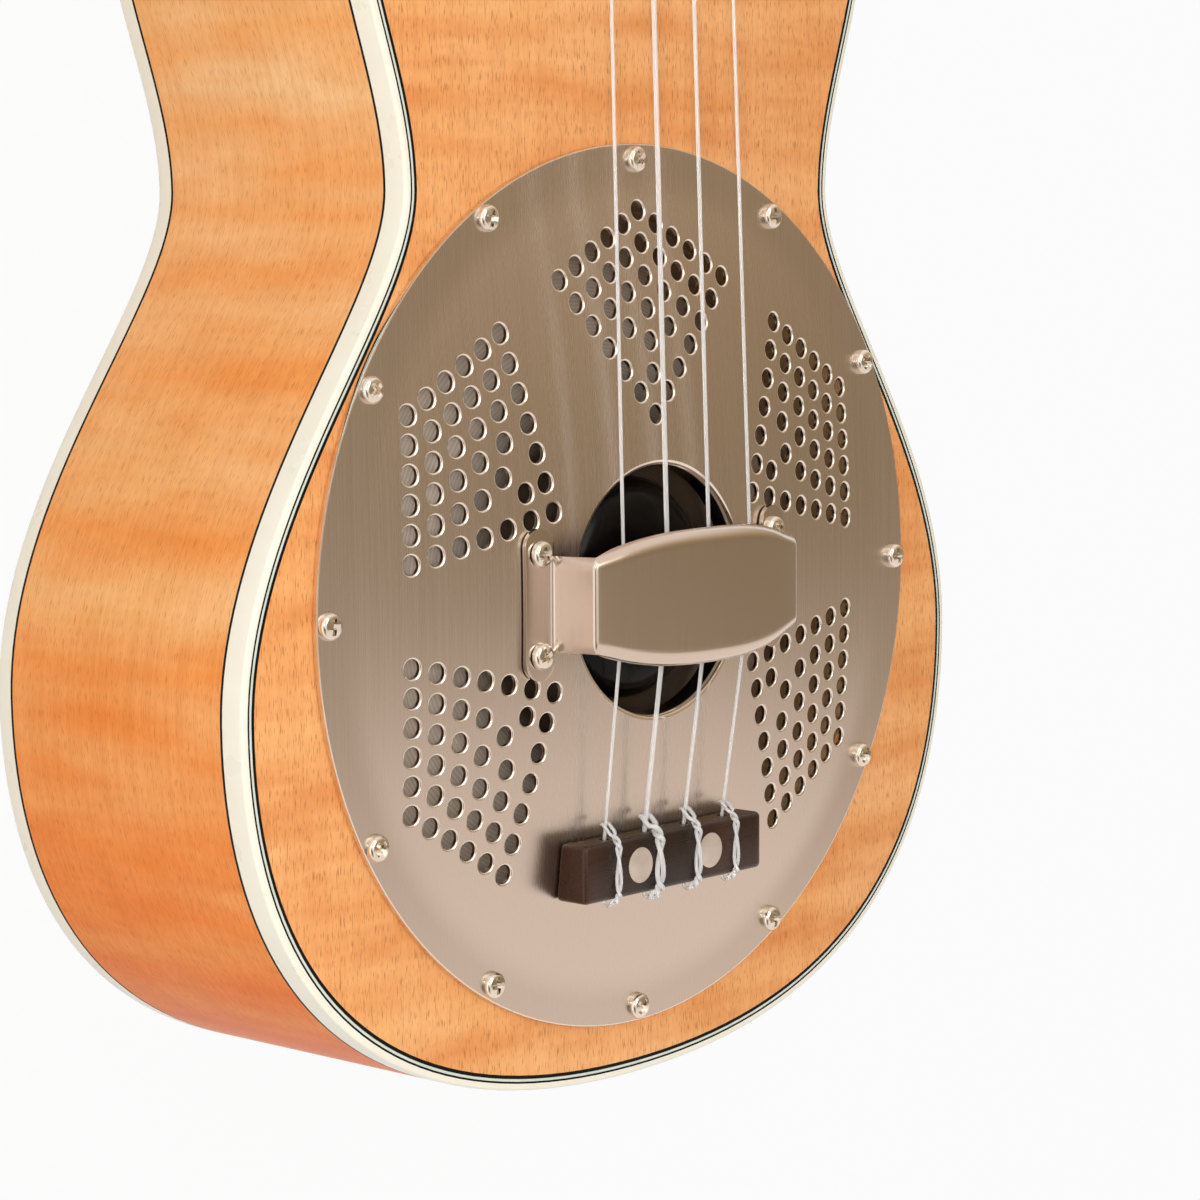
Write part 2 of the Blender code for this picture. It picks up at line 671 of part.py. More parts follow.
def add_plate_screws():
    for k, (x, y) in enumerate(plate_screw_places()):
        add_screw(f"coverplate_screw_{k + 1:02d}", x, y, FLANGE_Z, PLATE_SCREW_LENGTH)


def palm_tab_half(x):
    """Half length of the round-ended tab at that distance from the middle."""
    radius = PALM_TAB_WIDTH / 2
    off = min(abs(x - PALM_RISER_X - radius), radius)
    return PALM_TAB_HALF - radius + math.sqrt(radius ** 2 - off ** 2)


def palm_stations():
    """Half of the palm rest's path, tab tip to middle: x, height of the upper face, half width, on the tab."""
    stations = []
    for x in (PALM_TAB_END, PALM_TAB_END - PALM_T, PALM_TAB_END - PALM_TAB_WIDTH / 2, PALM_RISER_X + PALM_T):
        stations.append((x, plate_top(x, 0) + GAP + PALM_T, palm_tab_half(x), True))
    foot_z = plate_top(PALM_RISER_X, 0) + GAP + PALM_T + PALM_BEND
    end_z = TOP_Z + PALM_END_RISE
    stations.append((PALM_RISER_X, foot_z, PALM_END_HALF, False))
    stations.append((PALM_RISER_X, end_z - PALM_BEND, PALM_END_HALF, False))
    rise = PALM_MID_RISE - PALM_END_RISE
    inner_x = PALM_RISER_X - PALM_BEND
    for share in PALM_TOP_SHARES:
        half = PALM_MID_HALF + (PALM_END_HALF - PALM_MID_HALF) * share ** 2
        stations.append((inner_x * share, end_z + rise * (1 - share ** 2), half, False))
    return stations


def palm_drop(x, y, z, half, on_tab):
    """How far the sheet falls away from its middle line towards its edges."""
    if on_tab:
        return plate_top(x, 0) - plate_top(x, y)
    above_foot = (z - plate_top(PALM_RISER_X, 0)) / PALM_END_RISE
    return PALM_EDGE_DROP * abs(y / half) ** PALM_EDGE_POWER * min(1.0, above_foot)


def add_palm_rest():
    half_path = palm_stations()
    path = half_path + [(-x, z, half, tab) for x, z, half, tab in reversed(half_path[:-1])]
    lines = [Vector((b[0] - a[0], b[1] - a[1])).normalized() for a, b in zip(path, path[1:])]
    sections = []
    for k, (x, z, half, on_tab) in enumerate(path):
        d1 = lines[max(k - 1, 0)]
        d2 = lines[min(k, len(lines) - 1)]
        n1 = Vector((-d1.y, d1.x))
        n2 = Vector((-d2.y, d2.x))
        depth = (n1 + n2) * (PALM_T / (1 + n1.dot(n2)))
        upper = []
        lower = []
        for share in PALM_ACROSS_SHARES:
            y = half * share
            top = z - palm_drop(x, y, z, half, on_tab)
            upper.append((x, y, top))
            lower.append((x + depth.x, y, top + depth.y))
        sections.append(upper + lower[::-1])
    rest = loft("palm_rest", sections, "nickel")
    for k, (x, y) in enumerate(palm_screw_places()):
        seat = plate_top(x, y)
        hole = circle(x, y, SCREW_HOLE_R, SCREW_SIDES)
        cut(rest, prism(f"palm_hole_{k + 1}", hole, seat - PALM_BEND, seat + PALM_T + PALM_BEND))
        add_screw(f"palm_rest_screw_{k + 1}", x, y, seat + GAP + PALM_T, PALM_SCREW_LENGTH)


def add_tie_block():
    middle_y = (TIE_FRONT_Y + TIE_REAR_Y) / 2
    inner = TIE_HALF - TIE_CHAMFER
    middle = [(x, 0) for x in np.linspace(-inner, inner, TIE_STATIONS).tolist()]
    places = [(-TIE_HALF, TIE_CHAMFER), *middle, (TIE_HALF, TIE_CHAMFER)]
    sections = []
    for x, lowered in places:
        top = TIE_TOP_Z - lowered
        edge = TIE_TOP_Z - TIE_CHAMFER - lowered
        base = [(x, y, plate_top(x, y) + GAP) for y in (TIE_REAR_Y, middle_y, TIE_FRONT_Y)]
        crown = [(x, TIE_FRONT_Y, edge), (x, TIE_FRONT_Y - TIE_CHAMFER, top),
                 (x, TIE_REAR_Y + TIE_CHAMFER, top), (x, TIE_REAR_Y, edge)]
        sections.append(base + crown)
    tie = loft("tie_block", sections, "rosewood")
    for k, step in enumerate(STRING_STEPS):
        ring = circle(step * TIE_SPACING, TIE_HOLE_Z, TIE_HOLE_R, SCREW_SIDES)
        ends = (TIE_REAR_Y - TIE_CHAMFER, TIE_FRONT_Y + TIE_CHAMFER)
        cut(tie, loft(f"string_hole_{k + 1}", [[(x, y, z) for x, z in ring] for y in ends], None))
    for k, side in enumerate((-1, 1)):
        recess = circle(side * DOT_X, middle_y, DOT_R + GAP, DOT_SIDES)
        cut(tie, prism(f"dot_recess_{k + 1}", recess, TIE_TOP_Z - DOT_DEPTH - GAP, TIE_TOP_Z + DOT_DEPTH))
        dot = circle(side * DOT_X, middle_y, DOT_R, DOT_SIDES)
        prism(f"tie_block_dot_{k + 1}", dot, TIE_TOP_Z - DOT_DEPTH, TIE_TOP_Z, "pearl")


def neck_section(y, half, top, depth, squareness, points=9):
    """Flat-topped section with a round or square underside."""
    section = []
    for k in range(points):
        a = math.pi * k / (points - 1)
        c = math.cos(a)
        across = math.copysign(abs(c) ** (2 / squareness), c) if abs(c) > 1e-9 else 0.0
        down = max(math.sin(a), 0.0) ** (2 / squareness) if 0 < k < points - 1 else 0.0
        section.append((half * across, y, top - depth * down))
    return section


def add_neck():
    heel_y = BODY_END_Y + GAP
    heel_end = heel_y + HEEL_LENGTH
    sections = []
    for share, curve in HEEL_SWEEP_SHARES:
        y = heel_y + HEEL_LENGTH * share
        depth = NECK_DEPTH_AT_HEEL + (HEEL_DEPTH - NECK_DEPTH_AT_HEEL) * curve
        sections.append(neck_section(y, fretboard_half(y), neck_top(y), depth, NECK_ROUNDNESS))
    shaft_end = SCALE_LENGTH - HEAD_SHOULDER
    shaft = (((heel_end + shaft_end) / 2, (NECK_DEPTH_AT_HEEL + NECK_DEPTH_AT_NUT) / 2),
             (shaft_end, NECK_DEPTH_AT_NUT))
    for y, depth in shaft:
        sections.append(neck_section(y, fretboard_half(y), neck_top(y), depth, NECK_ROUNDNESS))
    start_top = neck_top(HEAD_START_Y)
    sections.append(neck_section(HEAD_START_Y, FRETBOARD_HALF_AT_NUT, start_top, NECK_DEPTH_AT_NUT,
                                 HEAD_START_SQUARENESS))
    straight = HEAD_LENGTH - CROWN_LENGTH
    stations = ((HEAD_SHOULDER, HEAD_HALF_AT_SHOULDER), (straight, HEAD_HALF_AT_CROWN),
                (HEAD_LENGTH - CROWN_LENGTH / 4, (HEAD_HALF_AT_CROWN + CROWN_HALF_AT_TIP) / 2),
                (HEAD_LENGTH, CROWN_HALF_AT_TIP))
    for along, half in stations:
        y = HEAD_START_Y + along * math.cos(HEAD_ANGLE)
        top = start_top - along * math.sin(HEAD_ANGLE)
        sections.append(neck_section(y, half, top, HEAD_T / math.cos(HEAD_ANGLE), HEAD_SQUARENESS))
    return loft("neck", sections, "neck_wood")


def fret_places():
    return [SCALE_LENGTH / 2 ** (k / 12) for k in range(1, FRET_COUNT + 1)]


def add_fretboard():
    """Tapered board with its frets, drawn as a side view and spread to its edges."""
    end_y = fret_places()[-1] - FRETBOARD_TAIL
    outline = [(end_y, TOP_Z + GAP), (BODY_END_Y, TOP_Z + GAP), (SCALE_LENGTH, neck_top(SCALE_LENGTH) + GAP),
               (SCALE_LENGTH, fretboard_top(SCALE_LENGTH))]
    bump = ((FRET_WIDTH, 0), (FRET_CROWN, FRET_HEIGHT), (-FRET_CROWN, FRET_HEIGHT), (-FRET_WIDTH, 0))
    for y in fret_places():
        for shift, rise in bump:
            outline.append((y + shift / 2, fretboard_top(y + shift / 2) + rise))
    outline.append((end_y, fretboard_top(end_y)))
    edges = [[(side * fretboard_half(y), y, z) for y, z in outline] for side in (-1, 1)]
    loft("fretboard", edges, "rosewood")


def nut_top():
    return fretboard_top(SCALE_LENGTH) + NUT_RISE


def add_nut():
    low = (-FRETBOARD_HALF_AT_NUT, SCALE_LENGTH + GAP, neck_top(SCALE_LENGTH) + GAP)
    high = (FRETBOARD_HALF_AT_NUT, SCALE_LENGTH + GAP + NUT_T, nut_top())
    block("nut", low, high, "bone")


def tuner_place(index):
    along = (TUNER_FIRST_ROW_SHARE + TUNER_ROWS[index] * TUNER_ROW_STEP_SHARE) * HEAD_LENGTH
    return (TUNER_SIDES[index] * POST_X, along, 0)


def gear_outline():
    """Toothed edge with a gullet that faces the worm."""
    points = []
    count = GEAR_TEETH * TOOTH_POINTS
    for k in range(count):
        a = math.pi / 2 + 2 * math.pi * k / count
        r = GEAR_R - TOOTH * math.cos(2 * math.pi * k / TOOTH_POINTS)
        points.append((r * math.cos(a), r * math.sin(a)))
    return points


def add_post(number, holder):
    foot_z = WORM_Z - GEAR_T / 2 - GAP
    post = prism(f"tuner_post_{number}", circle(0, 0, POST_R, POST_SIDES), foot_z, POST_RISE, "chrome", holder)
    gear = prism(f"tuner_gear_{number}", gear_outline(), WORM_Z - GEAR_T / 2, WORM_Z + GEAR_T / 2, None, holder)
    join(post, gear)


def worm_ring(x, side, mean, tooth):
    ring = []
    for k in range(WORM_SIDES):
        a = 2 * math.pi * k / WORM_SIDES
        r = mean + tooth * math.cos(a - math.pi - 2 * math.pi * x / WORM_LEAD)
        ring.append((side * x, r * math.cos(a), r * math.sin(a)))
    return ring


def oval_ring(x, side, half_width, half_t):
    angles = [2 * math.pi * k / WORM_SIDES for k in range(WORM_SIDES)]
    return [(side * x, half_width * math.cos(a), half_t * math.sin(a)) for a in angles]


def add_button(number, side, holder):
    """Worm on its shaft with the button at the outer end."""
    reach = WORM_HALF + GAP + LUG_T + GAP
    steps = 2 * round(2 * WORM_HALF / WORM_LEAD)
    rings = [worm_ring(x, side, SHAFT_R, 0) for x in (-reach, -WORM_HALF)]
    for k in range(-steps, steps + 1):
        rings.append(worm_ring(k * WORM_LEAD / 4, side, WORM_R, TOOTH))
    rings += [worm_ring(x, side, SHAFT_R, 0) for x in (WORM_HALF, BUTTON_START)]
    for share, width, thick in BUTTON_PROFILE_SHARES:
        x = BUTTON_START + BUTTON_LENGTH * share
        rings.append(oval_ring(x, side, BUTTON_HALF_WIDTH * width, BUTTON_HALF_T * thick))
    loft(f"tuner_button_{number}", rings, "chrome", holder, (0, WORM_Y, WORM_Z))


def add_tuner_plate(number, holder):
    """Base plate on the back of the headstock, with two lugs for the worm shaft."""
    low_z = TUNER_PLATE_Z - TUNER_PLATE_T
    lug_end_z = WORM_Z - LUG_HALF
    far_y = WORM_Y + TUNER_PLATE_MARGIN
    plate = block(f"tuner_plate_{number}", (-TUNER_PLATE_HALF_X, -TUNER_PLATE_BELOW, low_z),
                  (TUNER_PLATE_HALF_X, far_y, TUNER_PLATE_Z), "chrome", holder)
    near_x = WORM_HALF + GAP
    lug_top_z = (low_z + TUNER_PLATE_Z) / 2
    for end in (-1, 1):
        xs = sorted((end * near_x, end * (near_x + LUG_T)))
        lug = block(f"tuner_lug_{number}_{end}", (xs[0], WORM_Y - LUG_HALF, lug_end_z),
                    (xs[1], WORM_Y + LUG_HALF, lug_top_z), None, holder)
        join(plate, lug)
    ring = circle(WORM_Y, WORM_Z, SHAFT_R + GAP, WORM_SIDES)
    sections = [[(x, y, z) for y, z in ring] for x in (-2 * near_x, 2 * near_x)]
    cut(plate, loft(f"tuner_shaft_hole_{number}", sections, None, holder))
    post_hole = circle(0, 0, POST_R + 2 * GAP, POST_SIDES)
    cut(plate, prism(f"tuner_post_hole_{number}", post_hole, 2 * low_z, 0, None, holder))


def add_bushing(number, holder, neck):
    inner = POST_R + 2 * GAP
    profile = ((inner, -BUSHING_LENGTH), (BUSHING_R, -BUSHING_LENGTH), (BUSHING_R, GAP), (BUSHING_FLANGE_R, GAP),
               (BUSHING_FLANGE_R, GAP + BUSHING_FLANGE_T), (inner, GAP + BUSHING_FLANGE_T))
    turned(f"tuner_bushing_{number}", profile, POST_SIDES, "chrome", holder)
    bore = circle(0, 0, BUSHING_R + GAP, POST_SIDES)
    cut(neck, prism(f"bushing_hole_{number}", bore, -2 * HEAD_T, HEAD_T, None, holder))


def add_tuners(neck):
    headstock = bpy.data.objects.new("headstock_frame", None)
    bpy.context.collection.objects.link(headstock)
    headstock.matrix_world = headstock_matrix()
    for index, side in enumerate(TUNER_SIDES):
        number = index + 1
        holder = bpy.data.objects.new(f"tuner_frame_{number}", None)
        bpy.context.collection.objects.link(holder)
        holder.parent = headstock
        holder.location = tuner_place(index)
        add_bushing(number, holder, neck)
        add_tuner_plate(number, holder)
        add_button(number, side, holder)
        add_post(number, holder)


def knot_route(x, radius):
    """String tied at the block: free end on top, loop round itself, back over the block and through its hole."""
    lift = radius + GAP
    pair = radius + KNOT_PLAY / 2
    wide = 2 * radius + KNOT_PLAY
    top = TIE_TOP_Z + lift
    loop_y = TIE_FRONT_Y + KNOT_REACH
    run = (SADDLE_TOP_Z + lift - TIE_HOLE_Z) / -TIE_FRONT_Y
    loop_z = TIE_HOLE_Z + run * KNOT_REACH
    loop = []
    for k in range(KNOT_STEPS + 1):
        a = math.pi + math.pi * k / KNOT_STEPS
        loop.append((x + wide * math.cos(a), loop_y, loop_z + wide * math.sin(a)))
    front = TIE_FRONT_Y + lift
    rear = TIE_REAR_Y - lift
    shoulder = TIE_TOP_Z - TIE_CHAMFER
    return [
        (x - pair, TIE_REAR_Y + TIE_CHAMFER, top),
        (x - pair, TIE_FRONT_Y - TIE_CHAMFER, top),
        (x - wide, front, shoulder),
        *loop,
        (x + wide, front, shoulder),
        (x + pair, TIE_FRONT_Y - TIE_CHAMFER, top),
        (x + pair, TIE_REAR_Y + TIE_CHAMFER, top),
        (x + pair, rear, shoulder),
        (x + pair / 2, rear - lift, (shoulder + TIE_HOLE_Z) / 2),
        (x, rear, TIE_HOLE_Z),
        (x, TIE_FRONT_Y, TIE_HOLE_Z),
    ]


def wrap_route(index, radius):
    """Turns of a string on its post, from the inner side of the post down to a short free tail."""
    post_x, post_y, _ = tuner_place(index)
    side = TUNER_SIDES[index]
    reach = POST_R + GAP + radius
    start = 0.0 if side < 0 else math.pi
    steps = round(WRAP_TURNS * WRAP_POINTS)
    points = []
    for k in range(steps + 1):
        turns = k / WRAP_POINTS
        a = start - side * 2 * math.pi * turns
        spot = (post_x + reach * math.cos(a), post_y + reach * math.sin(a), WRAP_TOP - WRAP_STEP * turns)
        points.append(Vector(spot))
    along = (points[-1] - points[-2]).normalized()
    outward = Vector((math.cos(a), math.sin(a), 0))
    points.append(points[-1] + (along + outward).normalized() * WRAP_TAIL)
    to_world = headstock_matrix()
    return [tuple(to_world @ p) for p in points]


def least_self_gap(route, diameter):
    """Smallest clear distance between stretches of one string that are not neighbours along it."""
    step = diameter / 2
    samples = []
    lengths = []
    travelled = 0.0
    for a, b in zip(route, route[1:]):
        run = math.dist(a, b)
        for k in range(max(1, int(run / step))):
            share = k / max(1, int(run / step))
            samples.append([p + (q - p) * share for p, q in zip(a, b)])
            lengths.append(travelled + run * share)
        travelled += run
    points = np.array(samples)
    along = np.array(lengths)
    least = math.inf
    for k in range(len(points)):
        apart = np.abs(along - along[k]) > 4 * diameter
        if apart.any():
            least = min(least, np.linalg.norm(points[apart] - points[k], axis=1).min())
    return least - diameter


def add_strings():
    for index, (name, diameter) in enumerate(zip(STRING_NAMES, STRING_DIAMETERS)):
        radius = diameter / 2
        lift = radius + GAP
        step = STRING_STEPS[index]
        route = knot_route(step * TIE_SPACING, radius)
        route.append((step * SADDLE_SPACING, 0, SADDLE_TOP_Z + lift))
        route.append((step * NUT_SPACING, SCALE_LENGTH + NUT_T / 2, nut_top() + lift))
        route += wrap_route(index, radius)
        data = bpy.data.curves.new(f"string_{name}", "CURVE")
        data.dimensions = "3D"
        data.bevel_depth = radius
        data.bevel_resolution = 1
        data.use_fill_caps = True
        spline = data.splines.new("POLY")
        spline.points.add(len(route) - 1)
        for point, spot in zip(spline.points, route):
            point.co = (*spot, 1.0)
        place(f"string_{name}", data, "nylon")
        print(f"string_{name}: least gap to itself {least_self_gap(route, diameter) * 1000:.2f} mm")


def main():
    clear_scene()
    outline = body_outline()
    add_body(outline)
    add_body_frame(outline)
    add_soundwell()
    add_cone()
    add_biscuit()
    add_coverplate()
    add_plate_screws()
    add_palm_rest()
    add_tie_block()
    neck = add_neck()
    add_fretboard()
    add_nut()
    add_tuners(neck)
    add_strings()


main()
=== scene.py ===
"""Looks of a resonator ukulele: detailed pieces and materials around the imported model.

Metres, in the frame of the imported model. The back lies on Z = 0, +Y runs towards the headstock, +X is the
treble side, and the origin is under the centre of the coverplate.
"""
import math

import bmesh
import bpy
from mathutils import Matrix, Vector
from mathutils.geometry import delaunay_2d_cdt, interpolate_bezier


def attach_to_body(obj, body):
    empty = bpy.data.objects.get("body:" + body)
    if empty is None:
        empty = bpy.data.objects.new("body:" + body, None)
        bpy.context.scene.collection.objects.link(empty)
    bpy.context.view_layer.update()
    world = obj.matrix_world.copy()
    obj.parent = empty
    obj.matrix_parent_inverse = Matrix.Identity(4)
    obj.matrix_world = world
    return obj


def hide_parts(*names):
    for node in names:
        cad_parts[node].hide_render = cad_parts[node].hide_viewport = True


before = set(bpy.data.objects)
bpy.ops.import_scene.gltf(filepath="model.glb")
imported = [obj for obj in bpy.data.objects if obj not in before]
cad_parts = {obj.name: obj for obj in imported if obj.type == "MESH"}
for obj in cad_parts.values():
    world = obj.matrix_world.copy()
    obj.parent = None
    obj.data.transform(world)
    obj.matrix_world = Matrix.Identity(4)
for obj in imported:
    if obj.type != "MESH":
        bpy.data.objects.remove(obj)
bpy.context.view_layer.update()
FINISHES = {}

# Camera
CAMERA_PLACE = Vector((-0.51948, 0.07440, 0.52281))
CAMERA_AIM = Vector((-0.01180, -0.00133, 0.07020))
CAMERA_ROLL = math.radians(95.392)
CAMERA_LENS = 105.43
CAMERA_SENSOR = 36
CAMERA_NEAR = 0.01

# Studio as metal shows it, by the way that the light comes from
WHITE = (1.0, 1.0, 1.0)
AMBIENT = (0.38, 0.38, 0.38)
STUDIO_GLOW = (1.0, 0.90, 0.82)
TREBLE_GAP = ((0.34, STUDIO_GLOW), (0.38, (0.92, 0.83, 0.74)), (0.43, (0.32, 0.25, 0.165)),
              (0.50, (0.32, 0.245, 0.155)), (0.58, (0.45, 0.335, 0.21)), (0.68, (0.62, 0.50, 0.36)),
              (0.85, STUDIO_GLOW))
TREBLE_GAP_X = (0.0, 0.2)
OVERHEAD_GAP = (0.22, 0.18, 0.14)
OVERHEAD_GAP_X = (-0.15, -0.45)
OVERHEAD_GAP_Z = (0.35, 0.6)
BASS_GLOW = (1.4, 1.28, 1.18)
BASS_GLOW_X = (-0.75, -0.9)
PANEL_GLOW = (3.0, 2.85, 2.65)
PANEL_WAY = (-0.05, 0.38, 0.924)
PANEL_EDGE = (0.965, 0.985)

# Lamps: name, place, size, watts, and whether metal shows it
LAMPS = (
    ("key", (-0.75, 0.75, 1.25), 2.0, 10, True),
    ("front", CAMERA_PLACE, 0.1, 2.2, False),
    ("glint", (-0.56, 0.16, 0.56), 0.06, 0.12, True),
    ("tail", (-0.4, -1.3, 0.35), 1.0, 5, False),
    ("treble", (1.2, 0.2, 0.6), 1.0, 3, False),
)
LAMP_TINT = (1.0, 0.98, 0.95)
LAMP_AIM = Vector((0, 0, 0.05))

# Floor
FLOOR_GREY = (0.40, 0.40, 0.40)
FLOOR_ROUGH = 0.7
FLOOR_GLOSS = 0.1
FLOOR_GLOW = 0.95
FLOOR_FADE = (0.35, 1.0)
FLOOR_R = 3.0
FLOOR_T = 0.02
FLOOR_SIDES = 64

# Figure of the finishes: scales across and along the grain, shades, and where noise starts and ends to count
FLAME_LENGTH = 6
FLAME_SPREAD = 0.22
CLOUD_SCALE = (24, 14)
CLOUD_SHADE = (0.97, 0.89, 0.78)
RIPPLE_ACROSS = 60
RIPPLES_PER_FLAME = 2.2
RIPPLE_SHADE = (0.96, 0.91, 0.86)
GRAIN_SCALE = (700, 18)
GRAIN_SHADE = (0.94, 0.89, 0.85)
PORE_SCALE = (3400, 430)
PORE_EDGE = (0.56, 0.69)
SHADE_EDGE = (0.36, 0.6)
TINT_EDGE = (0.3, 0.7)
ROUGH_EDGE = (0.2, 0.8)
RING_EDGE = (0.1, 0.9)
WOOD_ROUGH_SPREAD = 0.05
COAT_ROUGH = 0.12
# Painted shade on the sides: the wood turns darker and deeper orange from the first Y towards the tail at the
# second
SIDE_PAINTED_SHADE_Y = (0.12, -0.09)
SIDE_PAINTED_SHADE = ((0.0, 1.0), (0.55, (0.99, 0.83, 0.68)), (1.0, (0.97, 0.47, 0.19)))
# Painted shade on the cone by share of its radius: nearly black towards the middle, darker again at the rim
CONE_PAINTED_SHADE = ((0.42, (0.06, 0.045, 0.03)), (0.60, (1.0, 1.0, 1.0)), (0.78, (1.0, 0.97, 0.94)),
              (0.90, (0.42, 0.32, 0.24)))
CONE_RINGS = 420.0
CONE_ROUGH_SPREAD = 0.06
CONE_METALLIC = 0.1
NYLON_SCALE = (900, 40, 900)
NYLON_PALE = (1.0, 0.99, 0.98)
NYLON_DEEP = (0.96, 0.95, 0.93)
NYLON_ROUGH = 0.03
NYLON_IOR = 1.53
NYLON_CLEAR = 0.55

# Body outline, in shares of the lower bout's half width
LOWER_BOUT_HALF = 0.1043
TAIL_SHARE = 0.9396
TAIL_REACH_SHARE = 0.6865
BOUT_Y_SHARE = 0.1572
BOUT_REACH_DOWN_SHARE = 0.4756
BOUT_REACH_UP_SHARE = 0.3797
WAIST_HALF_SHARE = 0.5954
WAIST_Y_SHARE = 0.7478
WAIST_REACH_DOWN_SHARE = 0.2013
WAIST_REACH_UP_SHARE = 0.1918
UPPER_HALF_SHARE = 0.7287
UPPER_REACH_DOWN_SHARE = 0.2493
UPPER_REACH_UP_SHARE = 0.2301
NECK_REACH_SHARE = 0.2876
UPPER_Y_WAIST_TO_NECK_SHARE = 0.5689
NECK_FLAT_HALF = 0.026
OUTLINE_STEPS = (40, 40, 28, 30)

# Body walls and trim
TOP_Z = 0.068
TOP_T = 0.003
BACK_T = 0.0025
SIDE_T = 0.003
BINDING_T = 0.0014
BINDING_HEIGHT = 0.0051
BACK_BINDING_HEIGHT = 0.004
BACK_LIFT = 0.0002
BINDING_ROUND = 0.0007
BINDING_STEPS = 4
LINE_HEIGHT = 0.0006
PURFLING_LINES = ((0.0014, 0.0018, 0), (0.0018, 0.0023, 1), (0.0023, 0.0030, 0))
TOP_IN = 0.0030
WELL_R = 0.0795

# Coverplate
GAP = 0.0003
SEAT = 0.00004
PLATE_R = 0.087
PLATE_T = 0.001
PLATE_EDGE = 0.0003
FLANGE_Z = TOP_Z + GAP + PLATE_T
PLATE_HOLE_R = 0.0244
COLLAR_ROLL = 0.0012
COLLAR_DEPTH = 0.0045
COLLAR_STEPS = 5
DOME_R = 0.079
DOME_HEIGHT = 0.00725
DOME_POWER = 1.62
CREASE_BAND = 0.008
CREASE_STEP = 0.0011
CREASE_RINGS = 3
CREASE_MARGIN = 0.0004
FLANGE_SLOPE = 0.3
PLATE_SIDES = 160
PLATE_SCREWS = 12
PLATE_SCREW_CIRCLE = 0.084
FAN_DEGREES = (-120, -60, 0, 60, 120)
FAN_INTERVALS = (5, 4, 3, 2, 1, 1, 0)
FAN_TIP = 0.0741
FAN_TIP_STEP = 0.00633
FAN_INNER_TIP = 0.0345
FAN_EDGE_HALF = 0.0241
FAN_EDGE = 0.0609
FAN_EDGE_STEP = 0.0044
PERFORATION_R = 0.00205
PERFORATION_ROUND = 0.0004
PERFORATION_STEPS = 3
PERFORATION_SIDES = 20
GUIDE_STEP = 0.003
GUIDE_MARGIN = 0.0006

# Screws, with the heights of their heads in shares of the whole head
SCREW_HOLE_R = 0.0016
SCREW_HOLE_SIDES = 12
SCREW_HEAD_R = 0.0026
SCREW_HEAD_HEIGHT = 0.0017
SCREW_SHOULDER = 0.0010
SCREW_EDGE_SHARE = 0.22
SCREW_CURVE_SHARE = 0.64
SCREW_CROWN_SHARE = 0.97
SCREW_STEPS = 6
SCREW_SIDES = 28
SCREW_SHANK_R = 0.0011
PLATE_SCREW_LENGTH = 0.012
PALM_SCREW_LENGTH = 0.004
PLATE_SCREW_TURNS = (0.6, 2.4)
PALM_SCREW_TURNS = (0.3, 1.7)
RECESS_LENGTH = 0.0037
RECESS_WIDTH = 0.00095
RECESS_DEPTH = 0.0013
RECESS_FOOT_SHARE = 0.45
RECESS_TOP_SHARE = 1.05

# Palm rest
PALM_RISER_X = 0.0313
PALM_TAB_WIDTH = 0.0072
PALM_TAB_HALF = 0.0145
PALM_TAB_END_STEPS = 10
PALM_TAB_STEPS = 4
PALM_TAB_COLUMNS = 12
PALM_TAB_TIP = PALM_TAB_WIDTH / 16
PALM_END_HALF = 0.0092
PALM_MID_HALF = 0.0132
PALM_SIDE_POWER = 2.8
PALM_END_RISE = 0.0177
PALM_MID_RISE = 0.0222
PALM_BEND = 0.0012
PALM_BEND_STEPS = 7
PALM_ARCH_STEPS = 30
PALM_ACROSS_STEPS = 18
PALM_LEAN = 0.0009
PALM_END_SLOPE = math.radians(17)
PALM_LIP_GROWTH = 0.004
PALM_LIP_AT_BEND = 0.7
PALM_LIP = 0.0026
PALM_LIP_TURN = math.radians(78)
PALM_T = 0.001
PALM_ROUND = 0.00025
PALM_SCREW_X = 0.0348
PALM_SCREW_Y = 0.0097

# Cone, biscuit and saddle
CONE_TOP_Z = 0.0629
CONE_TOP_R = 0.0235
CONE_TOP_EDGE = 0.001
CONE_RIM_R = 0.0785
CONE_LIP_R = 0.0735
CONE_RIM_Z = 0.0449
CONE_T = 0.0008
CONE_CURVE = 1.12
CONE_RIPPLE = 0.00025
CONE_RIPPLES = 14
CONE_STEPS = 24
CONE_SIDES = 120
BISCUIT_R = 0.022
BISCUIT_EDGE = 0.001
BISCUIT_CAP_R = 0.0155
BISCUIT_TOP_Z = 0.0712
BISCUIT_T = 0.008
BISCUIT_CAP_T = 0.005
BISCUIT_CAP_STEP = 0.0008
BISCUIT_CAP_STEPS = 8
BISCUIT_SIDES = 96
PILOT_BELOW = 0.002
PILOT_DEPTH = 0.0053
PILOT_SIDES = 16
SADDLE_HALF = 0.0205
SADDLE_T = 0.003
SADDLE_SLOT_DEPTH = 0.0022
SADDLE_TOP_Z = 0.0826
SADDLE_ROUND = 0.0009

# Tie block
TIE_HALF = 0.0267
TIE_FRONT_Y = -0.047
TIE_REAR_Y = -0.0585
TIE_MIDDLE_Y = (TIE_FRONT_Y + TIE_REAR_Y) / 2
TIE_TOP_Z = 0.0795
TIE_HOLE_Z = 0.0764
TIE_HOLE_R = 0.001
TIE_HOLE_SIDES = 14
TIE_HOLE_MARGIN = 0.002
TIE_ROUND = 0.0011
TIE_STATIONS = 25
DOT_X = 0.0106
DOT_R = 0.0035
DOT_PROFILE = ((DOT_R, -0.001), (DOT_R, 0.00003), (DOT_R - 0.0002, 0.00008))
DOT_SIDES = 48

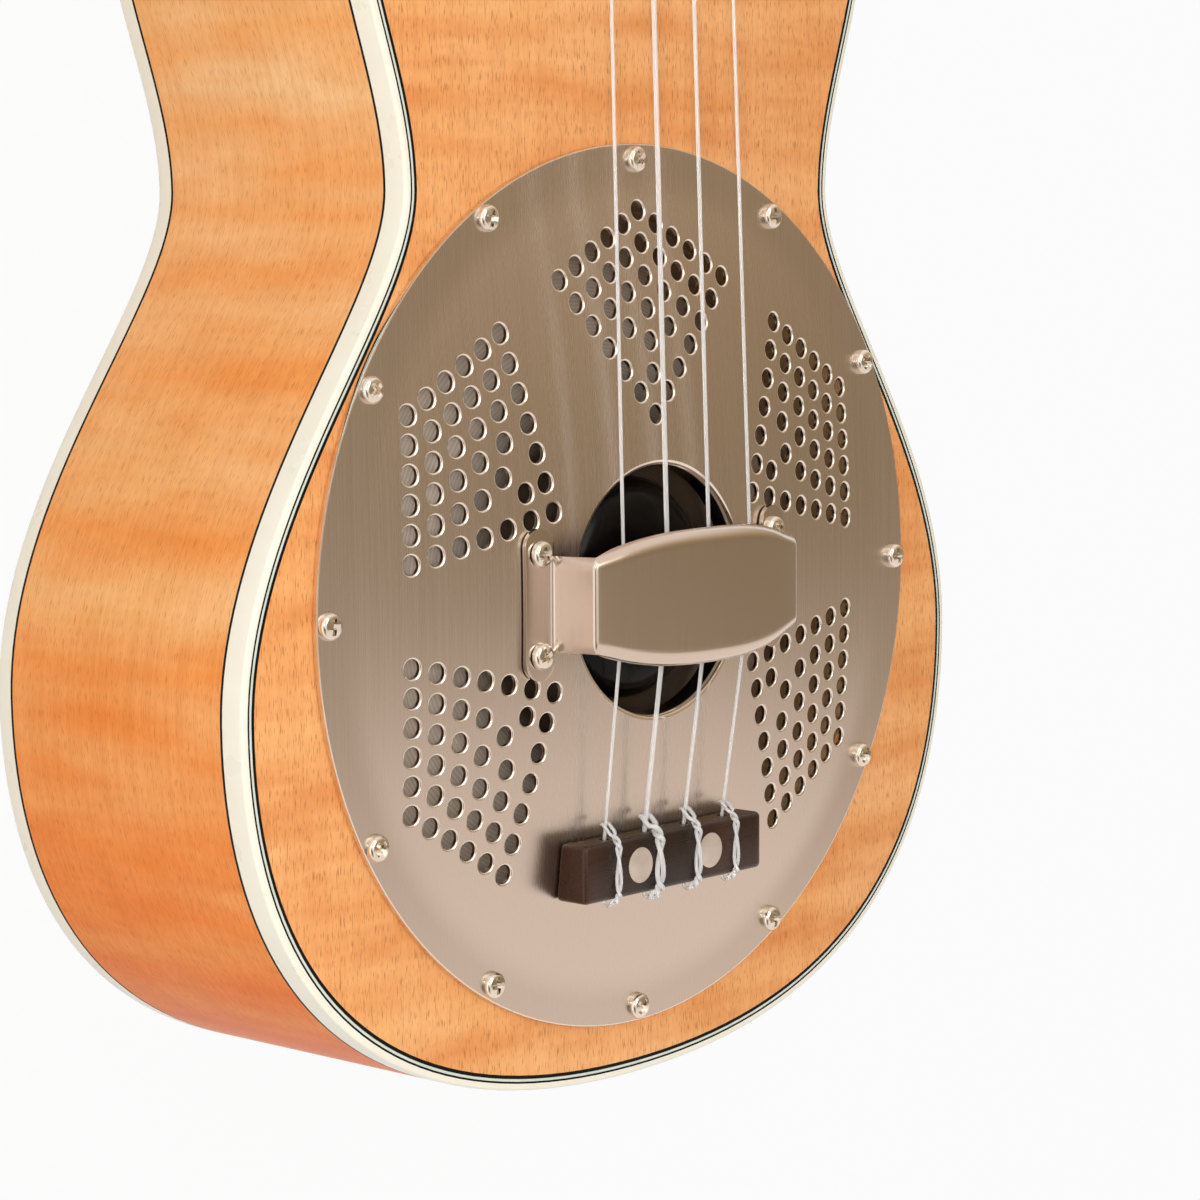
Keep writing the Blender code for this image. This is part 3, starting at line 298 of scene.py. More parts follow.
# Strings: name, diameter, and spacings from the middle; knots and wraps in shares of the string's radius
STRINGS = (("g", 0.0007, -1.5), ("c", 0.001, -0.5), ("e", 0.0008, 0.5), ("a", 0.0007, 1.5))
TIE_SPACING = 0.01187
SADDLE_SPACING = 0.01273
NUT_SPACING = 0.01033
KNOT_REACH = 0.003
KNOT_OUT = 3.0
KNOT_EDGE_LIFT = 1.4
KNOT_LIFT = 2
KNOT_EDGE_IN = 0.4 * TIE_ROUND
KNOT_FLAT_IN = 2 * TIE_ROUND
KNOT_STEPS = 12
KNOT_STRAND = 1.15
KNOT_LOOP = 2.3
KNOT_LOOP_STEPS = 8
KNOT_CURL = ((-0.0016, 0.5), (-0.0009, 0.0), (0.002, 0.0))
TWIST_TURNS = 2.5
WRAP_TURNS = 2.5
WRAP_POINTS = 24
WRAP_STEP = 0.0016
WRAP_TOP = 0.0105
WRAP_TAIL = 0.002

# Neck, fretboard and headstock
SCALE_LENGTH = 0.381
BODY_END_Y = SCALE_LENGTH / 2
NECK_SLOPE = math.tan(math.radians(1.2317))
NECK_SQUARENESS = 2.4
NUT_SQUARENESS = 3
HEAD_SQUARENESS = 12
NECK_POINTS = 29
NECK_STEPS = 6
NECK_SHARES = (0.25, 0.5, 0.75, 1.0)
FRETBOARD_T = 0.005
FRETBOARD_TAIL = 0.004
FRETBOARD_HALF_AT_NUT = 0.019
FRETBOARD_HALF_AT_BODY = 0.0215
FRETBOARD_ROUND = 0.0005
FRET_COUNT = 16
FRET_R = 0.001
FRET_INSET = 0.0002
FRET_STEPS = 8
FRET_ENDS = ((-1.0, 0.6), (-0.985, 1.0), (0.985, 1.0), (1.0, 0.6))
MARKER_FRETS = ((5, (0,)), (7, (0,)), (10, (0,)), (12, (-0.008, 0.008)), (15, (0,)))
MARKER_R = 0.0028
MARKER_PROFILE = ((MARKER_R, -0.0008), (MARKER_R, 0.00003))
MARKER_SIDES = 40
NUT_T = 0.0045
NUT_RISE = 0.0011
NUT_ROUND = 0.0008
HEEL_LENGTH = 0.034
HEEL_DEPTH = 0.058
HEEL_CURVE = ((0.0, 1.0), (0.2, 0.80), (0.45, 0.42), (0.7, 0.16), (1.0, 0.0))
NECK_DEPTH_AT_NUT = 0.0165
NECK_DEPTH_AT_HEEL = 0.0195
HEAD_ANGLE = math.radians(12)
HEAD_LENGTH = 0.138
HEAD_T = 0.013
HEAD_SHOULDER = 0.022
HEAD_HALF_AT_SHOULDER = 0.0275
HEAD_HALF_AT_CROWN = 0.0295
HEAD_FACE_Z = 0.9
CROWN_LENGTH = 0.022
CROWN_HALF_AT_TIP = 0.015
CROWN_STEPS = 12
CROWN_POWER = 1.35
HEAD_START_Y = SCALE_LENGTH + NUT_T + 2 * GAP

# Tuners, in the headstock's own frame
TUNER_SIDES = (-1, -1, 1, 1)
TUNER_ROWS = (0, 1, 1, 0)
TUNER_FIRST_ROW = 0.3188 * HEAD_LENGTH
TUNER_ROW_STEP = 0.3261 * HEAD_LENGTH
TUNER_ROUND = 0.0003
TURNED_SIDES = 40
BORE_SIDES = 32
POST_X = 0.017
POST_R = 0.003
POST_RISE = 0.0145
POST_BAND_Z = 0.012
POST_EDGE = 0.0003
POST_ROUND = 0.0008
POST_BORE_R = POST_R + 2 * GAP
BUSHING_R = 0.0045
BUSHING_FLANGE_R = 0.006
BUSHING_FLANGE_T = 0.0015
BUSHING_FLANGE_EDGE = 0.0007
BUSHING_FLANGE_ROUND = 0.0008
BUSHING_LENGTH = 0.008
TUNER_PLATE_Z = -HEAD_T - GAP
TUNER_PLATE_T = 0.0012
TUNER_PLATE_HALF_X = 0.009
TUNER_PLATE_BELOW = 0.008
TUNER_PLATE_MARGIN = 0.0045
TUNER_SCREW_X = TUNER_PLATE_HALF_X - 0.0028
TUNER_SCREW_Y = -0.0052
TUNER_SCREW_SIZE = 0.7
TUNER_SCREW_LENGTH = 0.006
GEAR_TEETH = 12
GEAR_R = 0.005
GEAR_T = 0.003
GEAR_EDGE = 0.0004
GEAR_EDGE_SHARE = 0.94
TOOTH = 0.0005
TOOTH_POINTS = 8
WORM_R = 0.0022
WORM_HALF = 0.0028
WORM_END = 0.0002
WORM_STEPS = 40
WORM_MESH_GAP = 0.00035
WORM_Y = GEAR_R + WORM_R + WORM_MESH_GAP
WORM_Z = TUNER_PLATE_Z - TUNER_PLATE_T - GAP - WORM_R - TOOTH
WORM_LEAD = 2 * math.pi * GEAR_R / GEAR_TEETH
SHAFT_R = 0.0013
SHAFT_SIDES = 28
LUG_T = 0.002
LUG_HALF = 0.0024
LUG_BORE_SIDES = 24
BUTTON_START = 0.0132
BUTTON_LENGTH = 0.012
BUTTON_HALF_WIDTH = 0.0072
BUTTON_HALF_T = 0.003
BUTTON_STEPS = 16
BUTTON_CURVE = (0.12, 0.875)
BUTTON_WIDTH_POWER = 0.45
BUTTON_T_POWER = 0.7


# Material nodes
def new_finish(name):
    made = bpy.data.materials.new(name)
    made.use_nodes = True
    FINISHES[name] = made
    return made.node_tree, made.node_tree.nodes["Principled BSDF"]


def feed(tree, target, inputs):
    """Fill a node's inputs, given as (name or number, value or socket)."""
    for key, value in inputs:
        socket = target.inputs[key]
        if isinstance(value, bpy.types.NodeSocket):
            tree.links.new(value, socket)
        else:
            socket.default_value = (*value, 1.0) if socket.type == "RGBA" else value


def node(tree, kind, inputs=(), **settings):
    made = tree.nodes.new(kind)
    for key, value in settings.items():
        setattr(made, key, value)
    feed(tree, made, inputs)
    return made


def stretched(tree, source, scale):
    """Object or UV coordinates, scaled along each axis."""
    coords = node(tree, "ShaderNodeTexCoord").outputs[source]
    return node(tree, "ShaderNodeMapping", (("Vector", coords), ("Scale", scale))).outputs[0]


def noise(tree, source, scale, detail=2.0, roughness=0.5):
    vector = stretched(tree, source, scale)
    inputs = (("Vector", vector), ("Scale", 1.0), ("Detail", detail), ("Roughness", roughness))
    return node(tree, "ShaderNodeTexNoise", inputs).outputs[0]


def ramp(tree, value, stops):
    """Colours or greys at places along a value."""
    made = node(tree, "ShaderNodeValToRGB", (("Fac", value),))
    ends = made.color_ramp.elements
    while len(ends) < len(stops):
        ends.new(1.0)
    for end, (place, color) in zip(ends, stops):
        end.position = place
        end.color = (*color, 1.0) if isinstance(color, tuple) else (color, color, color, 1.0)
    return made.outputs[0]


def fade(tree, value, places, start, end):
    """Colour or grey that goes from start to end between two places."""
    return ramp(tree, value, ((places[0], start), (places[1], end)))


def mixed(tree, kind, share, a, b):
    made = node(tree, "ShaderNodeMix", ((0, share), (6, a), (7, b)), data_type="RGBA", blend_type=kind)
    return made.outputs[2]


def ranged(tree, value, low, high, *ends):
    """Value between two bounds, mapped to 0 to 1 or to other ends."""
    return node(tree, "ShaderNodeMapRange", enumerate((value, low, high, *ends))).outputs[0]


def combined(tree, operation, a, b):
    return node(tree, "ShaderNodeMath", ((0, a), (1, b)), operation=operation).outputs[0]


def measured(tree, operation, *vectors):
    return node(tree, "ShaderNodeVectorMath", enumerate(vectors), operation=operation).outputs["Value"]


def bump(tree, shader, height, strength, distance):
    inputs = (("Height", height), ("Strength", strength), ("Distance", distance))
    feed(tree, shader, (("Normal", node(tree, "ShaderNodeBump", inputs).outputs[0]),))


def wood(name, pale, deep, dark, source="Object", grain=1, rough=0.4, coat=0.0, flame=60, contrast=1.0,
         gloss=0.2, pore=0.6, painted_shade=()):
    """Lacquered wood: flame across the grain, fine lines and short dark pores along it, and painted shade
    that darkens it towards one end, if given.
    """
    tree, shader = new_finish(name)

    def field(across, along, detail=2.0, roughness=0.5):
        scale = [along if axis == grain else across for axis in range(3)]
        return noise(tree, source, scale, detail, roughness)

    lines = field(*GRAIN_SCALE, 4.0, 0.65)
    pores = field(*PORE_SCALE)
    low = 0.5 - FLAME_SPREAD / contrast
    color = fade(tree, field(flame / FLAME_LENGTH, flame, 3.0), (low, 1 - low), deep, pale)
    ripple = field(RIPPLE_ACROSS, RIPPLES_PER_FLAME * flame)
    for figure, shade in ((field(*CLOUD_SCALE), CLOUD_SHADE), (ripple, RIPPLE_SHADE), (lines, GRAIN_SHADE)):
        color = mixed(tree, "MULTIPLY", 1.0, color, fade(tree, figure, SHADE_EDGE, shade, 1.0))
    color = mixed(tree, "MIX", fade(tree, pores, PORE_EDGE, 0.0, pore), color, dark)
    # Painted shade along Y: darker and deeper orange towards the tail
    if painted_shade:
        spot = node(tree, "ShaderNodeSeparateXYZ", ((0, stretched(tree, "Object", (1, 1, 1))),)).outputs[1]
        far = ranged(tree, spot, *SIDE_PAINTED_SHADE_Y)
        color = mixed(tree, "MULTIPLY", 1.0, color, ramp(tree, far, painted_shade))
    roughness = fade(tree, lines, ROUGH_EDGE, rough - WOOD_ROUGH_SPREAD, rough + WOOD_ROUGH_SPREAD)
    feed(tree, shader, (("Base Color", color), ("Roughness", roughness), ("Specular IOR Level", gloss),
                        ("Coat Weight", coat), ("Coat Roughness", COAT_ROUGH)))
    bump(tree, shader, pores, 0.08, 0.0002)


def plain(name, pale, deep, rough, scale, metallic=0.0, spread=0.05, coat=0.0, strength=0.05, gloss=0.5):
    """Surface whose colour, roughness and relief vary a little over a noise."""
    tree, shader = new_finish(name)
    field = noise(tree, "Object", scale, 3.0)
    feed(tree, shader, (("Base Color", fade(tree, field, TINT_EDGE, deep, pale)),
                        ("Roughness", fade(tree, field, ROUGH_EDGE, rough - spread, rough + spread)),
                        ("Metallic", metallic), ("Specular IOR Level", gloss), ("Coat Weight", coat)))
    bump(tree, shader, field, strength, 0.0001)


def spun(name, pale, deep, rough):
    """Metal turned on a lathe: fine rings about Z, with painted shade that darkens it towards the middle and
    again at the rim.
    """
    tree, shader = new_finish(name)
    vector = stretched(tree, "Object", (1, 1, 0))
    inputs = (("Vector", vector), ("Scale", CONE_RINGS), ("Distortion", 0.4), ("Detail", 3.0),
              ("Detail Scale", 2.5))
    rings = node(tree, "ShaderNodeTexWave", inputs, wave_type="RINGS", rings_direction="Z").outputs[1]
    # Painted shade by distance from the axis
    share = ranged(tree, measured(tree, "LENGTH", vector), 0.0, CONE_RIM_R)
    tint = fade(tree, rings, RING_EDGE, deep, pale)
    roughness = fade(tree, rings, RING_EDGE, rough + CONE_ROUGH_SPREAD, rough - CONE_ROUGH_SPREAD)
    feed(tree, shader, (("Base Color", mixed(tree, "MULTIPLY", 1.0, tint, ramp(tree, share, CONE_PAINTED_SHADE))),
                        ("Roughness", roughness), ("Metallic", CONE_METALLIC)))
    bump(tree, shader, rings, 0.12, 0.0002)


def clear_nylon(name):
    tree, shader = new_finish(name)
    field = noise(tree, "Object", NYLON_SCALE)
    feed(tree, shader, (("Base Color", fade(tree, field, TINT_EDGE, NYLON_DEEP, NYLON_PALE)),
                        ("Roughness", NYLON_ROUGH), ("IOR", NYLON_IOR), ("Transmission Weight", NYLON_CLEAR)))


def make_finishes():
    fine = (300, 300, 300)
    brushed = (5200, 22, 22)
    wood("honey_wood", (0.98, 0.51, 0.21), (0.86, 0.355, 0.115), (0.38, 0.12, 0.03),
         rough=0.34, coat=0.1, flame=110, contrast=1.4)
    # The sides carry painted shade that darkens them towards the tail
    wood("side_wood", (1.0, 0.67, 0.35), (0.96, 0.42, 0.13), (0.42, 0.13, 0.03),
         "UV", 0, 0.36, 0.0, 70, 1.25, 0.06, 0.42, SIDE_PAINTED_SHADE)
    wood("back_wood", (0.94, 0.50, 0.20), (0.84, 0.30, 0.08), (0.40, 0.12, 0.03),
         rough=0.34, coat=0.1, flame=70, contrast=1.25)
    wood("neck_wood", (0.36, 0.155, 0.066), (0.26, 0.10, 0.042), (0.10, 0.035, 0.015))
    wood("inner_wood", (0.66, 0.47, 0.27), (0.52, 0.34, 0.18), (0.30, 0.18, 0.08), rough=0.62)
    wood("rosewood", (0.052, 0.020, 0.010), (0.012, 0.006, 0.004), (0.004, 0.002, 0.001),
         grain=0, rough=0.28, gloss=0.4, contrast=1.6)
    wood("board_wood", (0.060, 0.030, 0.019), (0.026, 0.013, 0.009), (0.008, 0.004, 0.003))
    plain("black_lacquer", (0.004, 0.003, 0.003), (0.002, 0.002, 0.002), 0.16, fine, gloss=0.12)
    plain("black_line", (0.008, 0.007, 0.006), (0.004, 0.004, 0.004), 0.45, fine, gloss=0.08)
    plain("white_line", (0.72, 0.76, 0.68), (0.62, 0.67, 0.58), 0.35, fine)
    plain("cream", (0.93, 0.88, 0.745), (0.90, 0.845, 0.70), 0.30, (120, 120, 120), coat=0.15)
    for name, rough, strength in (("nickel", 0.28, 0.016), ("palm_nickel", 0.18, 0.02)):
        plain(name, (0.68, 0.585, 0.515), (0.66, 0.565, 0.495), rough, brushed, 1.0, 0.03, strength=strength)
    plain("rim_nickel", (0.84, 0.77, 0.70), (0.78, 0.71, 0.64), 0.12, fine, 1.0)
    plain("screw_steel", (0.84, 0.78, 0.70), (0.74, 0.68, 0.61), 0.09, fine, 1.0, 0.03)
    plain("chrome", (0.70, 0.63, 0.55), (0.60, 0.53, 0.45), 0.16, (420, 420, 420), 1.0, 0.04)
    spun("aluminium", (1.0, 0.88, 0.74), (0.84, 0.71, 0.58), 0.45)
    plain("bone", (0.88, 0.79, 0.63), (0.80, 0.69, 0.53), 0.35, (350, 60, 350))
    plain("pearl", (0.62, 0.49, 0.40), (0.50, 0.39, 0.315), 0.22, (210, 330, 210), coat=0.3)
    clear_nylon("nylon")


# Mesh building
def angles(count, start=0.0):
    """Angles of points evenly round a circle."""
    return [start + 2 * math.pi * k / count for k in range(count)]


def quarter(steps):
    """Angles from 0 to a right angle, both ends included."""
    return [math.pi / 2 * k / steps for k in range(steps + 1)]


def circle(x, y, radius, sides, turn=0.0):
    return [(x + radius * math.cos(a), y + radius * math.sin(a)) for a in angles(sides, turn)]


def lengths(points):
    """Distance travelled at each point of a path."""
    found = [0.0]
    for a, b in zip(points, points[1:]):
        found.append(found[-1] + math.dist(a, b))
    return found


def way_at(points, k):
    """Way that a path runs at one of its points."""
    return (points[min(k + 1, len(points) - 1)] - points[max(k - 1, 0)]).normalized()


def smooth(data, angle):
    data.shade_smooth()
    data.set_sharp_from_angle(angle=math.radians(angle))


def linked(name, data):
    made = bpy.data.objects.new(name, data)
    bpy.context.scene.collection.objects.link(made)
    return made


class Shape:
    """Points, faces, texture places and material numbers that become one mesh."""

    def __init__(self):
        self.points = []
        self.faces = []
        self.uvs = []
        self.slots = []

    def face(self, corners, uvs=None, slot=0):
        self.faces.append(tuple(corners))
        self.uvs += uvs or [(0.0, 0.0)] * len(corners)
        self.slots.append(slot)

    def grid(self, rows, wrap_rows=False, wrap_columns=True, slot=0, caps=False):
        """Quads over rows with as many points each, with texture places in metres."""
        first = len(self.points)
        width = len(rows[0])
        self.points += [tuple(p) for row in rows for p in row]
        run = lengths([row[0] for row in rows] + [rows[0][0]])
        across = lengths([*rows[0], rows[0][0]])
        for r in range(len(rows) if wrap_rows else len(rows) - 1):
            here = first + r * width
            there = first + (r + 1) % len(rows) * width
            for c in range(width if wrap_columns else width - 1):
                nxt = (c + 1) % width
                uvs = [(run[r], across[c]), (run[r], across[c + 1]),
                       (run[r + 1], across[c + 1]), (run[r + 1], across[c])]
                self.face((here + c, here + nxt, there + nxt, there + c), uvs, slot)
        if caps:
            for start in (first, first + (len(rows) - 1) * width):
                self.face(range(start, start + width), slot=slot)

    def lathe(self, profile, sides, place=Matrix()):
        """Solid about Z through rings given as (radius, height), capped at both ends."""
        rows = [[place @ Vector((*spot, z)) for spot in circle(0, 0, r, sides)] for r, z in profile]
        self.grid(rows, caps=True)

    def ring(self, profile, sides, place=Matrix()):
        """Closed ring about Z with a closed (radius, height) profile."""
        rows = [[place @ Vector((r * math.cos(a), r * math.sin(a), z)) for r, z in profile]
                for a in angles(sides)]
        self.grid(rows, wrap_rows=True)

    def box(self, low, high, place=Matrix()):
        corners = ((low[0], low[1]), (high[0], low[1]), (high[0], high[1]), (low[0], high[1]))
        self.grid([[place @ Vector((x, y, z)) for x, y in corners] for z in (low[2], high[2])], caps=True)

    def tube(self, path, radius, sides=8):
        """Round tube along a path, turning as little as it can."""
        points = [Vector(p) for p in path]
        side = way_at(points, 0).orthogonal().normalized()
        rows = []
        for k, point in enumerate(points):
            way = way_at(points, k)
            side = (side - way * side.dot(way)).normalized()
            other = way.cross(side)
            rows.append([point + (side * math.cos(a) + other * math.sin(a)) * radius for a in angles(sides)])
        self.grid(rows, caps=True)

    def build(self, name, *finishes, angle=35):
        data = bpy.data.meshes.new(name)
        data.from_pydata(self.points, [], self.faces)
        layer = data.uv_layers.new(name="run")
        layer.data.foreach_set("uv", [value for uv in self.uvs for value in uv])
        data.polygons.foreach_set("material_index", self.slots)
        for finish in finishes:
            data.materials.append(FINISHES[finish])
        work = bmesh.new()
        work.from_mesh(data)
        bmesh.ops.recalc_face_normals(work, faces=work.faces)
        work.to_mesh(data)
        work.free()
        smooth(data, angle)
        return linked(name, data)


def loft(name, finish, rows, angle=35):
    """Closed piece over rows of points."""
    shape = Shape()
    shape.grid(rows, caps=True)
    return shape.build(name, finish, angle=angle)


def lathed(name, finish, profile, sides, place=Matrix()):
    shape = Shape()
    shape.lathe(profile, sides, place)
    return shape.build(name, finish)


def boxed(name, finish, low, high, place=Matrix()):
    shape = Shape()
    shape.box(low, high, place)
    return shape.build(name, finish)


def settle(piece):
    """Make a piece's modifiers part of its mesh."""
    graph = bpy.context.evaluated_depsgraph_get()
    data = bpy.data.meshes.new_from_object(piece.evaluated_get(graph))
    piece.modifiers.clear()
    piece.data = data


def bevelled(piece, width, steps=3, angle=35):
    """Round the sharp edges of a piece."""
    edge = piece.modifiers.new("round", "BEVEL")
    edge.width = width
    edge.segments = steps
    edge.limit_method = "ANGLE"
    edge.angle_limit = math.radians(angle)
    settle(piece)
    smooth(piece.data, 45)
    return piece


def cut(piece, *tools, angle=40):
    """Take tool shapes out of a piece."""
    for tool in tools:
        step = piece.modifiers.new("cut", "BOOLEAN")
        step.operation = "DIFFERENCE"
        step.solver = "EXACT"
        step.object = tool
    settle(piece)
    for tool in tools:
        bpy.data.objects.remove(tool)
    smooth(piece.data, angle)
    return piece


def attach(piece, slot, *nodes, body="instrument"):
    """Fix a piece to a body and hide the nodes that it stands for; the slot is not used."""
    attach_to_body(piece, body)
    if nodes:
        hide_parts(*nodes)


def scatter_group():
    """Node group that puts a turned and sized copy of a template on every point."""
    group = bpy.data.node_groups.new("scatter", "GeometryNodeTree")
    for name, kind in (("Points", "Geometry"), ("Template", "Object"), ("Finish", "Material")):
        group.interface.new_socket(name, in_out="INPUT", socket_type=f"NodeSocket{kind}")
    group.interface.new_socket("Geometry", in_out="OUTPUT", socket_type="NodeSocketGeometry")
    start = node(group, "NodeGroupInput").outputs
    info = node(group, "GeometryNodeObjectInfo", (("Object", start["Template"]),))
    turn, size = (node(group, "GeometryNodeInputNamedAttribute", (("Name", key),), data_type="FLOAT_VECTOR")
                  for key in ("turn", "size"))
    rotation = node(group, "FunctionNodeEulerToRotation", ((0, turn.outputs[0]),))
    copies = node(group, "GeometryNodeInstanceOnPoints",
                  (("Points", start["Points"]), ("Instance", info.outputs["Geometry"]),
                   ("Rotation", rotation.outputs[0]), ("Scale", size.outputs[0])))
    real = node(group, "GeometryNodeRealizeInstances", ((0, copies.outputs[0]),))
    inputs = (("Geometry", real.outputs[0]), ("Material", start["Finish"]))
    node(group, "NodeGroupOutput", ((0, node(group, "GeometryNodeSetMaterial", inputs).outputs[0]),))
    return group


def scattered(name, template, places, finish):
    """One piece of copies of a template at (location, turn, size) places."""
    data = bpy.data.meshes.new(name)
    data.from_pydata([tuple(place[0]) for place in places], [], [])
    for key, column in (("turn", 1), ("size", 2)):
        values = [value for place in places for value in place[column]]
        data.attributes.new(key, "FLOAT_VECTOR", "POINT").data.foreach_set("vector", values)
    piece = linked(name, data)
    step = piece.modifiers.new("scatter", "NODES")
    step.node_group = SCATTER
    sockets = {item.name: item.identifier for item in SCATTER.interface.items_tree}
    step[sockets["Template"]] = template
    step[sockets["Finish"]] = FINISHES[finish]
    settle(piece)
    bpy.data.objects.remove(template)
    return piece


# Heights and outlines
def plate_top(x, y):
    reach = min(1.0, math.hypot(x, y) / DOME_R)
    return FLANGE_Z + DOME_HEIGHT * (1 - reach ** DOME_POWER)


def plate_normal(x, y):
    """Way that the plate faces, with the crease round the dome eased away."""
    reach = math.hypot(x, y)
    if reach < 1e-6:
        return Vector((0, 0, 1))
    slope = DOME_HEIGHT * DOME_POWER / DOME_R * (reach / DOME_R) ** (DOME_POWER - 1)
    share = min(1.0, max(0.0, (DOME_R - reach) / CREASE_BAND + 0.5))
    slope *= FLANGE_SLOPE + (1 - FLANGE_SLOPE) * share * share * (3 - 2 * share)
    return Vector((slope * x / reach, slope * y / reach, 1)).normalized()


def palm_seat(x, y):
    """Height of the upper face of the palm rest's tabs."""
    return plate_top(x, y) + GAP + PALM_T


def neck_top(y):
    return TOP_Z - NECK_SLOPE * max(0.0, y - BODY_END_Y)


def fretboard_top(y):
    return TOP_Z + GAP + FRETBOARD_T - NECK_SLOPE * (y - BODY_END_Y)


def fretboard_half(y):
    share = (y - BODY_END_Y) / (SCALE_LENGTH - BODY_END_Y)
    return FRETBOARD_HALF_AT_BODY + (FRETBOARD_HALF_AT_NUT - FRETBOARD_HALF_AT_BODY) * share


def nut_top():
    return fretboard_top(SCALE_LENGTH) + NUT_RISE


def bezier(start, start_handle, end_handle, end, steps):
    knots = [Vector((x, y, 0)) for x, y in (start, start_handle, end_handle, end)]
    return [(p.x, p.y) for p in interpolate_bezier(*knots, steps + 1)][1:]


def body_outline():
    """Closed outline from the tail, up the treble side and back down the bass side."""
    size = LOWER_BOUT_HALF
    tail = (0, -TAIL_SHARE * size)
    bout = (size, -BOUT_Y_SHARE * size)
    waist = (WAIST_HALF_SHARE * size, WAIST_Y_SHARE * size)
    upper_y = waist[1] + UPPER_Y_WAIST_TO_NECK_SHARE * (BODY_END_Y - waist[1])
    upper = (UPPER_HALF_SHARE * size, upper_y)
    neck = (NECK_FLAT_HALF, BODY_END_Y)
    runs = (
        (tail, (TAIL_REACH_SHARE * size, tail[1]), (bout[0], bout[1] - BOUT_REACH_DOWN_SHARE * size), bout),
        (bout, (bout[0], bout[1] + BOUT_REACH_UP_SHARE * size),
         (waist[0], waist[1] - WAIST_REACH_DOWN_SHARE * size), waist),
        (waist, (waist[0], waist[1] + WAIST_REACH_UP_SHARE * size),
         (upper[0], upper[1] - UPPER_REACH_DOWN_SHARE * size), upper),
        (upper, (upper[0], upper[1] + UPPER_REACH_UP_SHARE * size),
         (neck[0] + NECK_REACH_SHARE * size, neck[1]), neck),
    )
    treble = []
    for run, steps in zip(runs, OUTLINE_STEPS):
        treble += bezier(*run, steps)
    bass = [(-x, y) for x, y in reversed(treble)]
    return [tail] + treble + bass


def inset(outline, distance):
    """Outline moved inwards, edge by edge."""
    moved = []
    for k, (x, y) in enumerate(outline):
        before = Vector((x, y)) - Vector(outline[k - 1])
        after = Vector(outline[(k + 1) % len(outline)]) - Vector((x, y))
        n1 = Vector((-before.y, before.x)).normalized()
        n2 = Vector((-after.y, after.x)).normalized()
        shift = (n1 + n2) * (distance / (1 + n1.dot(n2)))
        moved.append((x + shift.x, y + shift.y))
    return moved


def strip(outer, inner, low, high):
    """Four-sided (inset, height) profile."""
    return ((outer, low), (outer, high), (inner, high), (inner, low))


def add_rail(shape, outline, profile, slot=0):
    """Strip with a closed (inset, height) profile all round the outline."""
    rims = [inset(outline, distance) for distance, _ in profile]
    rows = [[(*rim[k], z) for rim, (_, z) in zip(rims, profile)] for k in range(len(outline))]
    shape.grid(rows, wrap_rows=True, slot=slot)


def inside_hole(x, y, holes, margin=0.0):
    return any(math.hypot(x - hx, y - hy) < radius + margin for hx, hy, radius, _ in holes)


def sheet_triangles(outline, holes, guides):
    """Flat points and triangles over an outline with round holes."""
    points = [Vector(p) for p in outline]
    edges = [(k, (k + 1) % len(outline)) for k in range(len(outline))]
    for x, y, radius, sides in holes:
        first = len(points)
        points += [Vector(p) for p in circle(x, y, radius, sides)]
        edges += [(first + k, first + (k + 1) % sides) for k in range(sides)]
    points += [Vector(p) for p in guides]
    flat, _, triangles, *_ = delaunay_2d_cdt(points, edges, [], 1, 1e-7)
    tight = [(x, y, radius * math.cos(math.pi / sides), sides) for x, y, radius, sides in holes]
    kept = []
    for triangle in triangles:
        centre = sum((flat[k] for k in triangle), Vector((0, 0))) / 3
        if not inside_hole(centre.x, centre.y, tight):
            kept.append(tuple(triangle))
    return flat, kept


def open_edges(triangles):
    sides_of = {}
    for a, b, c in triangles:
        for edge in ((a, b), (b, c), (c, a)):
            sides_of.setdefault(frozenset(edge), []).append(edge)
    return [found[0] for found in sides_of.values() if len(found) == 1]


def add_sheet(shape, flat, triangles, height_at, thickness, walled=lambda reach: True):
    """Upper and lower faces over flat triangles, and walls at the open edges that want one."""
    count = len(flat)
    shape.points = [(p.x, p.y, height_at(p.x, p.y)) for p in flat]
    shape.points += [(x, y, z - thickness) for x, y, z in shape.points]
    for a, b, c in triangles:
        shape.face((a, b, c))
        shape.face((c + count, b + count, a + count))
    for a, b in open_edges(triangles):
        if walled((flat[a] + flat[b]).length / 2):
            shape.face((b, a, a + count, b + count))


